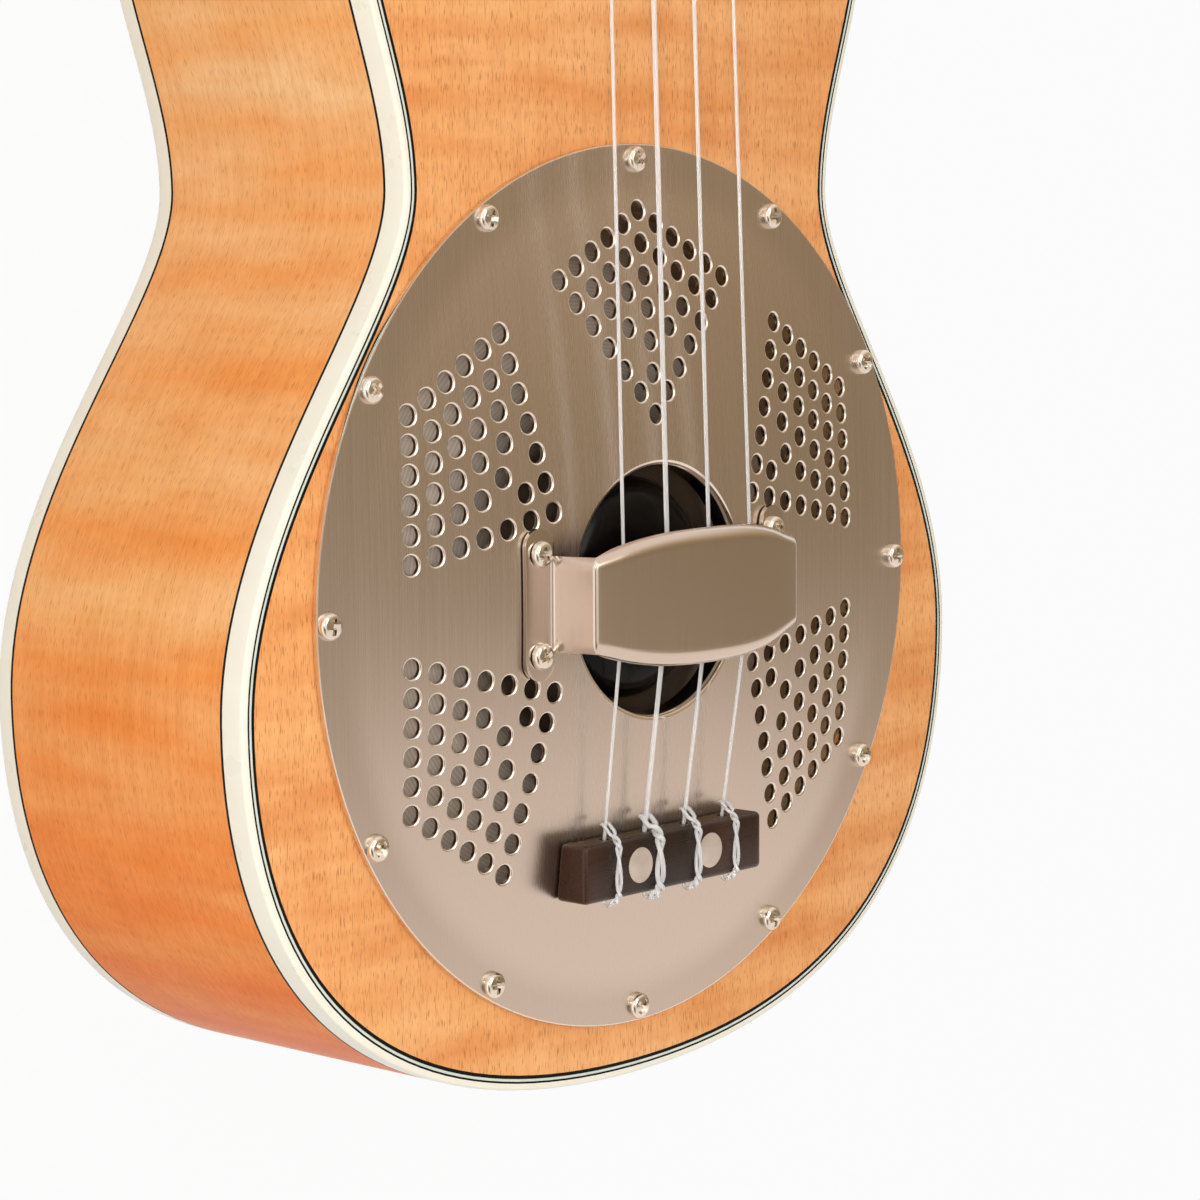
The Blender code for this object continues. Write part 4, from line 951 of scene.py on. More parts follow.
# Body
def add_body():
    outline = body_outline()
    side_low = BACK_BINDING_HEIGHT + LINE_HEIGHT
    line_top = TOP_Z - BINDING_HEIGHT
    side_top = line_top - LINE_HEIGHT
    sides = Shape()
    add_rail(sides, outline, strip(0, SIDE_T, side_low, side_top))
    attach(sides.build("sides", "side_wood"), "side_wood", "body_sides")

    curve = [(BINDING_ROUND * (1 - math.cos(a)), BINDING_ROUND * (1 - math.sin(a)))
             for a in quarter(BINDING_STEPS)]
    upper = [(0, line_top), *((x, TOP_Z - z) for x, z in curve), (BINDING_T, TOP_Z), (BINDING_T, line_top)]
    lower = [(BINDING_T, BACK_BINDING_HEIGHT), (BINDING_T, BACK_LIFT),
             *((z, BACK_LIFT + x) for x, z in curve), (0, BACK_BINDING_HEIGHT)]
    for name, cad, profile, line_z in (("top_edge", "top_binding", upper, side_top),
                                       ("back_edge", "back_binding", lower, BACK_BINDING_HEIGHT)):
        shape = Shape()
        add_rail(shape, outline, profile)
        add_rail(shape, outline, strip(0, BINDING_T, line_z, line_z + LINE_HEIGHT), 1)
        attach(shape.build(name, "cream", "black_line", angle=50), "cream_binding", cad)

    lines = Shape()
    for outer, inner, slot in PURFLING_LINES:
        add_rail(lines, outline, strip(outer, inner, TOP_Z - TOP_T, TOP_Z), slot)
    attach(lines.build("purfling_lines", "black_line", "white_line"), "purfling", "top_purfling")

    rim = inset(outline, BINDING_T)
    back = loft("back", "back_wood", [[(x, y, z) for x, y in rim] for z in (0.0, BACK_T)])
    attach(back, "side_wood", "body_back")

    top = Shape()
    flat, triangles = sheet_triangles(inset(outline, TOP_IN), [(0, 0, WELL_R, PLATE_SIDES)], [])
    add_sheet(top, flat, triangles, lambda x, y: TOP_Z, TOP_T)
    attach(top.build("top", "honey_wood"), "honey_wood", "body_top")


# Coverplate
def fan_places():
    """Centres of one fan's perforations, with V along the fan and U across it."""
    places = []
    last = len(FAN_INTERVALS) - 1
    for k, intervals in enumerate(FAN_INTERVALS):
        tip = FAN_INNER_TIP if k == last else FAN_TIP - k * FAN_TIP_STEP
        edge_u = FAN_EDGE_HALF * (1 - k / last)
        edge_v = FAN_EDGE - k * FAN_EDGE_STEP
        places.append((0, tip))
        for step in range(1, intervals + 1):
            share = step / intervals
            v = tip + (edge_v - tip) * share
            places += [(edge_u * share, v), (-edge_u * share, v)]
    return places


def perforation_places():
    places = []
    for degrees in FAN_DEGREES:
        turn = Matrix.Rotation(math.radians(degrees), 2)
        places += [tuple(turn @ Vector(place)) for place in fan_places()]
    return places


def plate_screw_places():
    return [(PLATE_SCREW_CIRCLE * math.cos(a), PLATE_SCREW_CIRCLE * math.sin(a))
            for a in angles(PLATE_SCREWS, math.pi / 2)]


def palm_screw_places():
    return [(sx * PALM_SCREW_X, sy * PALM_SCREW_Y) for sx in (-1, 1) for sy in (1, -1)]


def plate_guides(holes):
    """Rings of points that carry the dome between the holes."""
    guides = []
    radius = PLATE_HOLE_R + COLLAR_ROLL + GUIDE_STEP
    while radius < DOME_R - (CREASE_RINGS + 1) * CREASE_STEP:
        ring = circle(0, 0, radius, round(2 * math.pi * radius / GUIDE_STEP))
        guides += [p for p in ring if not inside_hole(*p, holes, GUIDE_MARGIN)]
        radius += GUIDE_STEP
    for k in range(-CREASE_RINGS, CREASE_RINGS + 1):
        ring = circle(0, 0, DOME_R + k * CREASE_STEP, PLATE_SIDES, math.pi / PLATE_SIDES * (k % 2))
        guides += [p for p in ring if not inside_hole(*p, holes, CREASE_MARGIN)]
    return guides


def set_plate_normals(data):
    """Shade the dome as the smooth surface that it stands for."""
    normals = []
    for face in data.polygons:
        for k in face.vertices:
            place = data.vertices[k].co
            if abs(face.normal.z) < 0.5:
                normals.append(face.normal.copy())
            else:
                normals.append(plate_normal(place.x, place.y) * math.copysign(1, face.normal.z))
    data.normals_split_custom_set(normals)


def add_coverplate():
    edge_r = PERFORATION_R + PERFORATION_ROUND / 2
    lip_r = PLATE_HOLE_R + COLLAR_ROLL
    holes = [(x, y, edge_r, PERFORATION_SIDES) for x, y in perforation_places()]
    holes += [(x, y, SCREW_HOLE_R, SCREW_HOLE_SIDES) for x, y in plate_screw_places() + palm_screw_places()]
    outline = circle(0, 0, PLATE_R - PLATE_EDGE, PLATE_SIDES)
    flat, triangles = sheet_triangles(outline, [(0, 0, lip_r, PLATE_SIDES)] + holes, plate_guides(holes))
    sheet = Shape()
    add_sheet(sheet, flat, triangles, plate_top, PLATE_T,
              lambda reach: lip_r + COLLAR_ROLL < reach < PLATE_R - 2 * PLATE_EDGE)
    plate = sheet.build("coverplate_sheet", "nickel", angle=40)
    set_plate_normals(plate.data)
    attach(plate, "nickel", "coverplate")

    edge = Shape()
    edge.ring(((PLATE_R - PLATE_EDGE, FLANGE_Z), (PLATE_R - PLATE_EDGE / 4, FLANGE_Z - PLATE_EDGE / 4),
               (PLATE_R, FLANGE_Z - PLATE_EDGE), (PLATE_R, FLANGE_Z - PLATE_T),
               (PLATE_R - PLATE_EDGE, FLANGE_Z - PLATE_T)), PLATE_SIDES)
    lip_z = plate_top(lip_r, 0)
    roll = [(lip_r - COLLAR_ROLL * math.sin(a), lip_z - COLLAR_ROLL * (1 - math.cos(a)))
            for a in quarter(COLLAR_STEPS)]
    edge.ring(roll + [(PLATE_HOLE_R, lip_z - COLLAR_DEPTH), (lip_r, lip_z - COLLAR_DEPTH)], PLATE_SIDES)
    attach(edge.build("coverplate_edges", "rim_nickel", angle=50), "nickel")

    rim = Shape()
    profile = [(edge_r - PERFORATION_ROUND * math.sin(a), PERFORATION_ROUND * (math.cos(a) - 1))
               for a in quarter(PERFORATION_STEPS)]
    rim.ring(profile + [(edge_r - PERFORATION_ROUND, -PLATE_T), (edge_r, -PLATE_T)], PERFORATION_SIDES)
    places = []
    for x, y in perforation_places():
        turn = Vector((0, 0, 1)).rotation_difference(plate_normal(x, y)).to_euler()
        places.append(((x, y, plate_top(x, y)), turn, (1, 1, 1)))
    rims = scattered("perforation_rims", rim.build("rim", "rim_nickel", angle=50), places, "rim_nickel")
    attach(rims, "nickel")


# Screws
def screw_template(length):
    """Domed screw with a cross recess, whose head sits on Z = 0."""
    profile = [(SCREW_SHANK_R, -length), (SCREW_SHANK_R, 0), (SCREW_HEAD_R, 0)]
    for a in quarter(SCREW_STEPS):
        height = SCREW_HEAD_HEIGHT * (SCREW_EDGE_SHARE + SCREW_CURVE_SHARE * math.sin(a))
        profile.append((SCREW_HEAD_R - SCREW_SHOULDER * (1 - math.cos(a)), height))
    profile.append((SCREW_HEAD_R / 3, SCREW_CROWN_SHARE * SCREW_HEAD_HEIGHT))
    profile.append((SCREW_HEAD_R / 9, SCREW_HEAD_HEIGHT))
    screw = lathed("screw", "screw_steel", profile, SCREW_SIDES)
    tools = []
    for turn in (0, math.pi / 2):
        spin = Matrix.Rotation(turn, 4, "Z")
        rows = []
        for share, z in ((RECESS_FOOT_SHARE, SCREW_HEAD_HEIGHT - RECESS_DEPTH),
                         (1.0, SCREW_HEAD_HEIGHT * RECESS_TOP_SHARE)):
            half = RECESS_LENGTH / 2 * share
            wide = RECESS_WIDTH / 2
            corners = ((-half, -wide), (half, -wide), (half, wide), (-half, wide))
            rows.append([spin @ Vector((x, y, z)) for x, y in corners])
        tools.append(loft("recess", "screw_steel", rows))
    return cut(screw, *tools)


def screw_set(name, places, seat_at, turns, length):
    """Screws at (x, y) places, each turned a step further than the one before."""
    first, step = turns
    spots = [((x, y, seat_at(x, y)), (0, 0, first + step * k), (1, 1, 1)) for k, (x, y) in enumerate(places)]
    return scattered(name, screw_template(length), spots, "screw_steel")


def add_screws():
    plate = screw_set("coverplate_screws", plate_screw_places(), lambda x, y: FLANGE_Z, PLATE_SCREW_TURNS,
                      PLATE_SCREW_LENGTH)
    attach(plate, "chrome", *[f"coverplate_screw_{k + 1:02d}" for k in range(PLATE_SCREWS)])
    places = palm_screw_places()
    palm = screw_set("palm_rest_screws", places, palm_seat, PALM_SCREW_TURNS, PALM_SCREW_LENGTH)
    attach(palm, "chrome", *[f"palm_rest_screw_{k + 1}" for k in range(len(places))])


# Palm rest
def palm_strap_path():
    """Foot to middle of the strap: x, height of the outer face, half width and share of the rolled edge."""
    foot_x = PALM_RISER_X + PALM_LEAN
    foot = Vector((foot_x, palm_seat(foot_x, 0)))
    head = Vector((PALM_RISER_X - PALM_LEAN, TOP_Z + PALM_END_RISE))
    riser = (head - foot).normalized()
    arch = Vector((-math.cos(PALM_END_SLOPE), math.sin(PALM_END_SLOPE)))
    stations = []
    for corner, before, after, lip in ((foot, Vector((-1, 0)), riser, 0.0),
                                       (head, riser, arch, PALM_LIP_AT_BEND)):
        reach = PALM_BEND * math.tan(before.angle(after) / 2)
        for k in range(PALM_BEND_STEPS + 1):
            share = k / PALM_BEND_STEPS
            a = corner - before * reach * (1 - share)
            b = corner + after * reach * share
            spot = a.lerp(b, share)
            stations.append((spot.x, spot.y, PALM_END_HALF, lip))
    start_x, start_z = stations[-1][:2]
    rise = TOP_Z + PALM_MID_RISE - start_z
    for k in range(1, PALM_ARCH_STEPS + 1):
        share = 1 - k / PALM_ARCH_STEPS
        half = PALM_MID_HALF + (PALM_END_HALF - PALM_MID_HALF) * share ** PALM_SIDE_POWER
        grown = min(1.0, start_x * (1 - share) / PALM_LIP_GROWTH)
        lip = PALM_LIP_AT_BEND + (1 - PALM_LIP_AT_BEND) * grown
        stations.append((start_x * share, start_z + rise * (1 - share ** 2), half, lip))
    return stations


def palm_across(half, lip):
    """Places (across, down) from the middle of the strap to its rolled edge."""
    turn = PALM_LIP_TURN * lip
    flat = half - PALM_LIP * math.sin(turn)
    run = flat + PALM_LIP * turn
    places = []
    for k in range(PALM_ACROSS_STEPS + 1):
        reach = run * k / PALM_ACROSS_STEPS
        a = max(0.0, reach - flat) / PALM_LIP
        places.append((min(reach, flat) + PALM_LIP * math.sin(a), PALM_LIP * (1 - math.cos(a))))
    return places


def add_palm_tab(shape, side):
    """Round-ended foot that lies on the plate."""
    radius = PALM_TAB_WIDTH / 2
    middle_x = side * (PALM_RISER_X + radius)
    straight = PALM_TAB_HALF - radius
    reaches = [straight + radius * math.cos(a) for a in quarter(PALM_TAB_END_STEPS)[:-1]]
    reaches += [straight * k / PALM_TAB_STEPS for k in range(PALM_TAB_STEPS, 0, -1)]
    rows = []
    for y in [-y for y in reaches] + [0.0] + list(reversed(reaches)):
        off = max(0.0, abs(y) - straight)
        wide = max(math.sqrt(max(radius ** 2 - off ** 2, 0.0)), PALM_TAB_TIP)
        xs = [middle_x + wide * (2 * k / PALM_TAB_COLUMNS - 1) for k in range(PALM_TAB_COLUMNS + 1)]
        rows.append([(x, y, palm_seat(x, y)) for x in xs])
    shape.grid(rows, wrap_columns=False)


def add_palm_rest():
    half_path = palm_strap_path()
    path = half_path + [(-x, *rest) for x, *rest in reversed(half_path[:-1])]
    spots = [Vector((x, z)) for x, z, *_ in path]
    rows = []
    for k, (x, z, half, lip) in enumerate(path):
        way = way_at(spots, k)
        places = palm_across(half, lip)
        places = [(-y, drop) for y, drop in reversed(places[1:])] + places
        rows.append([(x - way.y * drop, y, z + way.x * drop) for y, drop in places])
    shape = Shape()
    shape.grid(rows, wrap_columns=False)
    for side in (-1, 1):
        add_palm_tab(shape, side)
    rest = shape.build("palm_rest_sheet", "palm_nickel", angle=180)
    thick = rest.modifiers.new("thickness", "SOLIDIFY")
    thick.thickness = PALM_T
    thick.offset = -1
    attach(bevelled(rest, PALM_ROUND, angle=50), "nickel", "palm_rest")


# Cone, biscuit and saddle
def add_bridge():
    upper = [(SCREW_HOLE_R, CONE_TOP_Z), (CONE_TOP_R - CONE_TOP_EDGE, CONE_TOP_Z)]
    for k in range(CONE_STEPS + 1):
        share = k / CONE_STEPS
        fall = (CONE_RIM_Z + 2 * CONE_T - CONE_TOP_Z) * share ** CONE_CURVE
        ripple = CONE_RIPPLE * math.sin(share * math.pi * CONE_RIPPLES)
        upper.append((CONE_TOP_R + (CONE_LIP_R - CONE_TOP_R) * share, CONE_TOP_Z + fall + ripple))
    upper += [(CONE_LIP_R, CONE_RIM_Z + CONE_T), (CONE_RIM_R, CONE_RIM_Z + CONE_T)]
    lower = [(r if r == SCREW_HOLE_R else r - CONE_T / 2, z - CONE_T) for r, z in reversed(upper)]
    cone = Shape()
    cone.ring(upper + lower, CONE_SIDES)
    attach(cone.build("cone", "aluminium", angle=40), "spun_aluminium", "resonator_cone")

    bottom = BISCUIT_TOP_Z - BISCUIT_T
    cap_z = BISCUIT_TOP_Z - BISCUIT_CAP_T
    profile = [(BISCUIT_R - BISCUIT_EDGE, bottom), (BISCUIT_R, bottom + BISCUIT_EDGE),
               (BISCUIT_R, cap_z - BISCUIT_CAP_STEP)]
    for a in quarter(BISCUIT_CAP_STEPS):
        r = BISCUIT_CAP_R + (BISCUIT_R - BISCUIT_CAP_R) * math.cos(a)
        profile.append((r, cap_z + BISCUIT_CAP_T * math.sin(a)))
    slot_z = BISCUIT_TOP_Z - SADDLE_SLOT_DEPTH
    slot_half = SADDLE_T / 2 + GAP
    slot = boxed("slot", "black_lacquer", (-2 * BISCUIT_R, -slot_half, slot_z),
                 (2 * BISCUIT_R, slot_half, SADDLE_TOP_Z))
    pilot = lathed("pilot", "black_lacquer", ((SCREW_HOLE_R, bottom - PILOT_BELOW),
                                              (SCREW_HOLE_R, bottom + PILOT_DEPTH)), PILOT_SIDES)
    biscuit = cut(lathed("biscuit", "black_lacquer", profile, BISCUIT_SIDES), slot, pilot)
    attach(biscuit, "black_maple", "bridge_biscuit")

    saddle = boxed("saddle_bone", "bone", (-SADDLE_HALF, -SADDLE_T / 2, slot_z + GAP),
                   (SADDLE_HALF, SADDLE_T / 2, SADDLE_TOP_Z))
    attach(bevelled(saddle, SADDLE_ROUND, 4), "bone", "saddle")


# Tie block and strings
def add_tie_block():
    rows = []
    for k in range(TIE_STATIONS):
        x = TIE_HALF * (2 * k / (TIE_STATIONS - 1) - 1)
        base = [(x, y, plate_top(x, y) + SEAT) for y in (TIE_REAR_Y, TIE_MIDDLE_Y, TIE_FRONT_Y)]
        rows.append(base + [(x, TIE_FRONT_Y, TIE_TOP_Z), (x, TIE_REAR_Y, TIE_TOP_Z)])
    tie = bevelled(loft("tie", "rosewood", rows), TIE_ROUND, 4, 60)
    tools = []
    for _, _, step in STRINGS:
        hole = circle(step * TIE_SPACING, TIE_HOLE_Z, TIE_HOLE_R, TIE_HOLE_SIDES)
        ends = (TIE_REAR_Y - TIE_HOLE_MARGIN, TIE_FRONT_Y + TIE_HOLE_MARGIN)
        tools.append(loft("bore", "rosewood", [[(x, y, z) for x, z in hole] for y in ends]))
    attach(cut(tie, *tools, angle=45), "rosewood", "tie_block")
    for k, side in enumerate((-1, 1)):
        place = Matrix.Translation((side * DOT_X, TIE_MIDDLE_Y, TIE_TOP_Z))
        dot = lathed(f"pearl_dot_{k + 1}", "pearl", DOT_PROFILE, DOT_SIDES, place)
        attach(dot, "pearl", f"tie_block_dot_{k + 1}")


def smooth_path(points, steps):
    """Curve through points, with so many steps between neighbours."""
    spots = [Vector(p) for p in points]
    spots = [2 * spots[0] - spots[1], *spots, 2 * spots[-1] - spots[-2]]
    curve = []
    for a, b, c, d in zip(spots, spots[1:], spots[2:], spots[3:]):
        for k in range(steps):
            t = k / steps
            curve.append(0.5 * (2 * b + (c - a) * t + (2 * a - 5 * b + 4 * c - d) * t * t
                                + (3 * b - a - 3 * c + d) * t ** 3))
    return curve + [spots[-2]]


def headstock_matrix():
    place = Matrix.Translation((0, HEAD_START_Y, neck_top(HEAD_START_Y)))
    return place @ Matrix.Rotation(-HEAD_ANGLE, 4, "X")


def tuner_place(index):
    """Place of a post in the headstock's frame."""
    return Vector((TUNER_SIDES[index] * POST_X, TUNER_FIRST_ROW + TUNER_ROWS[index] * TUNER_ROW_STEP, 0))


def knot_path(x, radius):
    """Free end, twisted pair over the block, loop round the string, back over the block and through it."""
    edge_z = TIE_TOP_Z - TIE_ROUND
    edge_lift_z = TIE_TOP_Z + KNOT_EDGE_LIFT * radius
    flat_z = TIE_TOP_Z + KNOT_LIFT * radius
    spine = smooth_path((
        (x, TIE_FRONT_Y + KNOT_OUT * radius, edge_z),
        (x, TIE_FRONT_Y - KNOT_EDGE_IN, edge_lift_z),
        (x, TIE_FRONT_Y - KNOT_FLAT_IN, flat_z),
        (x, TIE_REAR_Y + KNOT_FLAT_IN, flat_z),
        (x, TIE_REAR_Y + KNOT_EDGE_IN, edge_lift_z),
        (x, TIE_REAR_Y - KNOT_OUT * radius, edge_z)), KNOT_STEPS)
    across = Vector((1, 0, 0))
    strands = ([], [])
    for k, point in enumerate(spine):
        up = across.cross(way_at(spine, k)).normalized()
        turn = 2 * math.pi * TWIST_TURNS * k / (len(spine) - 1)
        off = (across * math.cos(turn) + up * math.sin(turn)) * radius * KNOT_STRAND
        strands[0].append(point - off)
        strands[1].append(point + off)
    run = (SADDLE_TOP_Z + radius - TIE_HOLE_Z) / -TIE_FRONT_Y
    loop_y = TIE_FRONT_Y + KNOT_REACH
    loop_z = TIE_HOLE_Z + run * KNOT_REACH
    wide = KNOT_LOOP * radius
    loop = []
    for k in range(KNOT_LOOP_STEPS + 1):
        a = math.pi + math.pi * k / KNOT_LOOP_STEPS
        loop.append((x + wide * math.cos(a), loop_y, loop_z + wide * math.sin(a)))
    ends = [(x + side * wide, (TIE_FRONT_Y + loop_y) / 2, edge_z) for side in (-1, 1)]
    there = smooth_path([strands[0][2], ends[0], *loop, ends[1], strands[1][2]], 4)
    end = strands[1][-1]
    drop = end.z - TIE_HOLE_Z
    curl = smooth_path([end, *((x, TIE_REAR_Y + y, TIE_HOLE_Z + drop * share) for y, share in KNOT_CURL)], 8)
    return list(reversed(strands[0][3:])) + there + strands[1][3:-1] + curl + [(x, TIE_FRONT_Y, TIE_HOLE_Z)]


def wrap_path(index, radius):
    """Turns of a string on its post, down to a short free tail."""
    post = tuner_place(index)
    side = TUNER_SIDES[index]
    reach = POST_R + radius
    start = 0.0 if side < 0 else math.pi
    points = []
    for k in range(round(WRAP_TURNS * WRAP_POINTS) + 1):
        turns = k / WRAP_POINTS
        a = start - side * 2 * math.pi * turns
        points.append(Vector((post.x + reach * math.cos(a), post.y + reach * math.sin(a),
                              WRAP_TOP - WRAP_STEP * turns)))
    along = (points[-1] - points[-2]).normalized()
    outward = Vector((math.cos(a), math.sin(a), 0))
    points.append(points[-1] + (along + outward).normalized() * WRAP_TAIL)
    to_world = headstock_matrix()
    return [to_world @ p for p in points]


def add_strings():
    for index, (name, diameter, step) in enumerate(STRINGS):
        radius = diameter / 2
        path = [Vector(p) for p in knot_path(step * TIE_SPACING, radius)]
        path.append(Vector((step * SADDLE_SPACING, 0, SADDLE_TOP_Z + radius)))
        path.append(Vector((step * NUT_SPACING, SCALE_LENGTH + NUT_T / 2, nut_top() + radius)))
        path += wrap_path(index, radius)
        shape = Shape()
        shape.tube(path, radius)
        attach(shape.build(f"nylon_string_{name}", "nylon", angle=60), "nylon", f"string_{name}")


# Neck and fretboard
def neck_section(y, half, top, depth, squareness):
    """Flat-topped section with a round or square underside."""
    section = []
    for k in range(NECK_POINTS):
        a = math.pi * k / (NECK_POINTS - 1)
        c = math.cos(a)
        across = math.copysign(abs(c) ** (2 / squareness), c) if abs(c) > 1e-9 else 0.0
        down = max(math.sin(a), 0.0) ** (2 / squareness) if 0 < k < NECK_POINTS - 1 else 0.0
        section.append((half * across, y, top - depth * down))
    return section


def neck_stations():
    """Sections from heel to crown: y, half width, top, depth and squareness."""
    heel_y = BODY_END_Y + GAP
    heel_end = heel_y + HEEL_LENGTH
    shaft = SCALE_LENGTH - HEAD_SHOULDER - heel_end
    run = [(heel_y + HEEL_LENGTH * share, NECK_DEPTH_AT_HEEL + (HEEL_DEPTH - NECK_DEPTH_AT_HEEL) * curve)
           for share, curve in HEEL_CURVE]
    run += [(heel_end + shaft * share, NECK_DEPTH_AT_HEEL + (NECK_DEPTH_AT_NUT - NECK_DEPTH_AT_HEEL) * share)
            for share in NECK_SHARES]
    stations = [(y, fretboard_half(y), neck_top(y), depth, NECK_SQUARENESS) for y, depth in run]
    start_top = neck_top(HEAD_START_Y)
    stations.append((HEAD_START_Y, FRETBOARD_HALF_AT_NUT, start_top, NECK_DEPTH_AT_NUT, NUT_SQUARENESS))
    straight = HEAD_LENGTH - CROWN_LENGTH
    head = [(HEAD_SHOULDER, HEAD_HALF_AT_SHOULDER), (straight, HEAD_HALF_AT_CROWN)]
    for a in quarter(CROWN_STEPS)[1:]:
        share = math.sin(a)
        full = math.sqrt(max(0.0, 1 - share ** CROWN_POWER))
        head.append((straight + CROWN_LENGTH * share,
                     CROWN_HALF_AT_TIP + (HEAD_HALF_AT_CROWN - CROWN_HALF_AT_TIP) * full))
    for along, half in head:
        y = HEAD_START_Y + along * math.cos(HEAD_ANGLE)
        top = start_top - along * math.sin(HEAD_ANGLE)
        stations.append((y, half, top, HEAD_T / math.cos(HEAD_ANGLE), HEAD_SQUARENESS))
    return stations


def blend_point(p0, p1, p2, p3, t):
    """Point between p1 and p2: smooth across the neck, straight along its top line."""
    run = p2[1] - p1[1]
    found = []
    for axis in (0, 2):
        step = (p2[axis] - p1[axis]) / run
        low, high = sorted((0, 2 * step))
        before = (p2[axis] - p0[axis]) / max(p2[1] - p0[1], 1e-6)
        after = (p3[axis] - p1[axis]) / max(p3[1] - p1[1], 1e-6)
        before, after = (min(max(slope, low), high) for slope in (before, after))
        found.append((2 * t ** 3 - 3 * t ** 2 + 1) * p1[axis] + (t ** 3 - 2 * t ** 2 + t) * run * before
                     + (3 * t ** 2 - 2 * t ** 3) * p2[axis] + (t ** 3 - t ** 2) * run * after)
    return (found[0], p1[1] + run * t, found[1])


def add_neck():
    sections = [neck_section(*station) for station in neck_stations()]
    padded = [sections[0], *sections, sections[-1]]
    rows = []
    for around in zip(padded, sections, sections[1:], padded[3:]):
        for k in range(NECK_STEPS):
            rows.append([blend_point(*points, k / NECK_STEPS) for points in zip(*around)])
    rows.append(sections[-1])
    shape = Shape()
    shape.grid(rows, caps=True)
    neck = shape.build("neck_shaft", "neck_wood", "board_wood", angle=40)
    tools = []
    for index in range(len(TUNER_SIDES)):
        place = headstock_matrix() @ Matrix.Translation(tuner_place(index))
        bore = ((BUSHING_R + GAP, -2 * HEAD_T), (BUSHING_R + GAP, HEAD_T))
        tools.append(lathed("bore", "neck_wood", bore, BORE_SIDES, place))
    cut(neck, *tools)
    for face in neck.data.polygons:
        if face.center.y > HEAD_START_Y and face.normal.z > HEAD_FACE_Z:
            face.material_index = 1
    attach(neck, "neck_wood", "neck")


def fret_places():
    return [SCALE_LENGTH / 2 ** (k / 12) for k in range(1, FRET_COUNT + 1)]


def add_fretboard():
    rows = []
    for y in (fret_places()[-1] - FRETBOARD_TAIL, BODY_END_Y, SCALE_LENGTH):
        half = fretboard_half(y)
        under = neck_top(y) + GAP
        top = fretboard_top(y)
        rows.append([(-half, y, under), (half, y, under), (half, y, top), (-half, y, top)])
    board = bevelled(loft("fingerboard", "board_wood", rows), FRETBOARD_ROUND, 2, 40)
    attach(board, "rosewood", "fretboard")

    profile = [(FRET_R * math.cos(a), FRET_R * math.sin(a))
               for a in (math.pi * k / FRET_STEPS for k in range(FRET_STEPS + 1))]
    rows = [[(x, y * size, z * size) for y, z in profile] for x, size in FRET_ENDS]
    tilt = -math.atan(NECK_SLOPE)
    places = [((0, y, fretboard_top(y)), (tilt, 0, 0), (fretboard_half(y) - FRET_INSET, 1, 1))
              for y in fret_places()]
    attach(scattered("fret_wires", loft("wire", "chrome", rows, 40), places, "chrome"), "chrome")

    marks = Shape()
    frets = [SCALE_LENGTH] + fret_places()
    for number, columns in MARKER_FRETS:
        y = (frets[number - 1] + frets[number]) / 2
        for x in columns:
            place = Matrix.Translation((x, y, fretboard_top(y))) @ Matrix.Rotation(tilt, 4, "X")
            marks.lathe(MARKER_PROFILE, MARKER_SIDES, place)
    attach(marks.build("fret_markers", "pearl"), "pearl")

    low = (-FRETBOARD_HALF_AT_NUT, SCALE_LENGTH + GAP, neck_top(SCALE_LENGTH) + GAP)
    high = (FRETBOARD_HALF_AT_NUT, SCALE_LENGTH + GAP + NUT_T, nut_top())
    nut = boxed("nut_bone", "bone", low, high)
    attach(bevelled(nut, NUT_ROUND), "bone", "nut")


# Tuners
def gear_outline():
    points = []
    for k, a in enumerate(angles(GEAR_TEETH * TOOTH_POINTS, math.pi / 2)):
        r = GEAR_R - TOOTH * math.cos(2 * math.pi * k / TOOTH_POINTS)
        points.append((r * math.cos(a), r * math.sin(a)))
    return points


def add_post(number, place):
    shape = Shape()
    foot = WORM_Z - GEAR_T / 2
    profile = [(POST_R - POST_EDGE, foot - GAP), (POST_R, foot), (POST_R, POST_BAND_Z),
               (POST_R, POST_RISE - POST_ROUND), (POST_R - POST_EDGE, POST_RISE - POST_EDGE),
               (POST_R - POST_ROUND, POST_RISE)]
    shape.lathe(profile, TURNED_SIDES, place)
    levels = ((foot, GEAR_EDGE_SHARE), (foot + GEAR_EDGE, 1.0), (foot + GEAR_T - GEAR_EDGE, 1.0),
              (foot + GEAR_T, GEAR_EDGE_SHARE))
    rows = [[place @ Vector((x * size, y * size, z)) for x, y in gear_outline()] for z, size in levels]
    shape.grid(rows, caps=True)
    piece = shape.build(f"post_and_gear_{number}", "chrome", angle=40)
    attach(piece, "chrome", f"tuner_post_{number}", body=f"post_{number}")


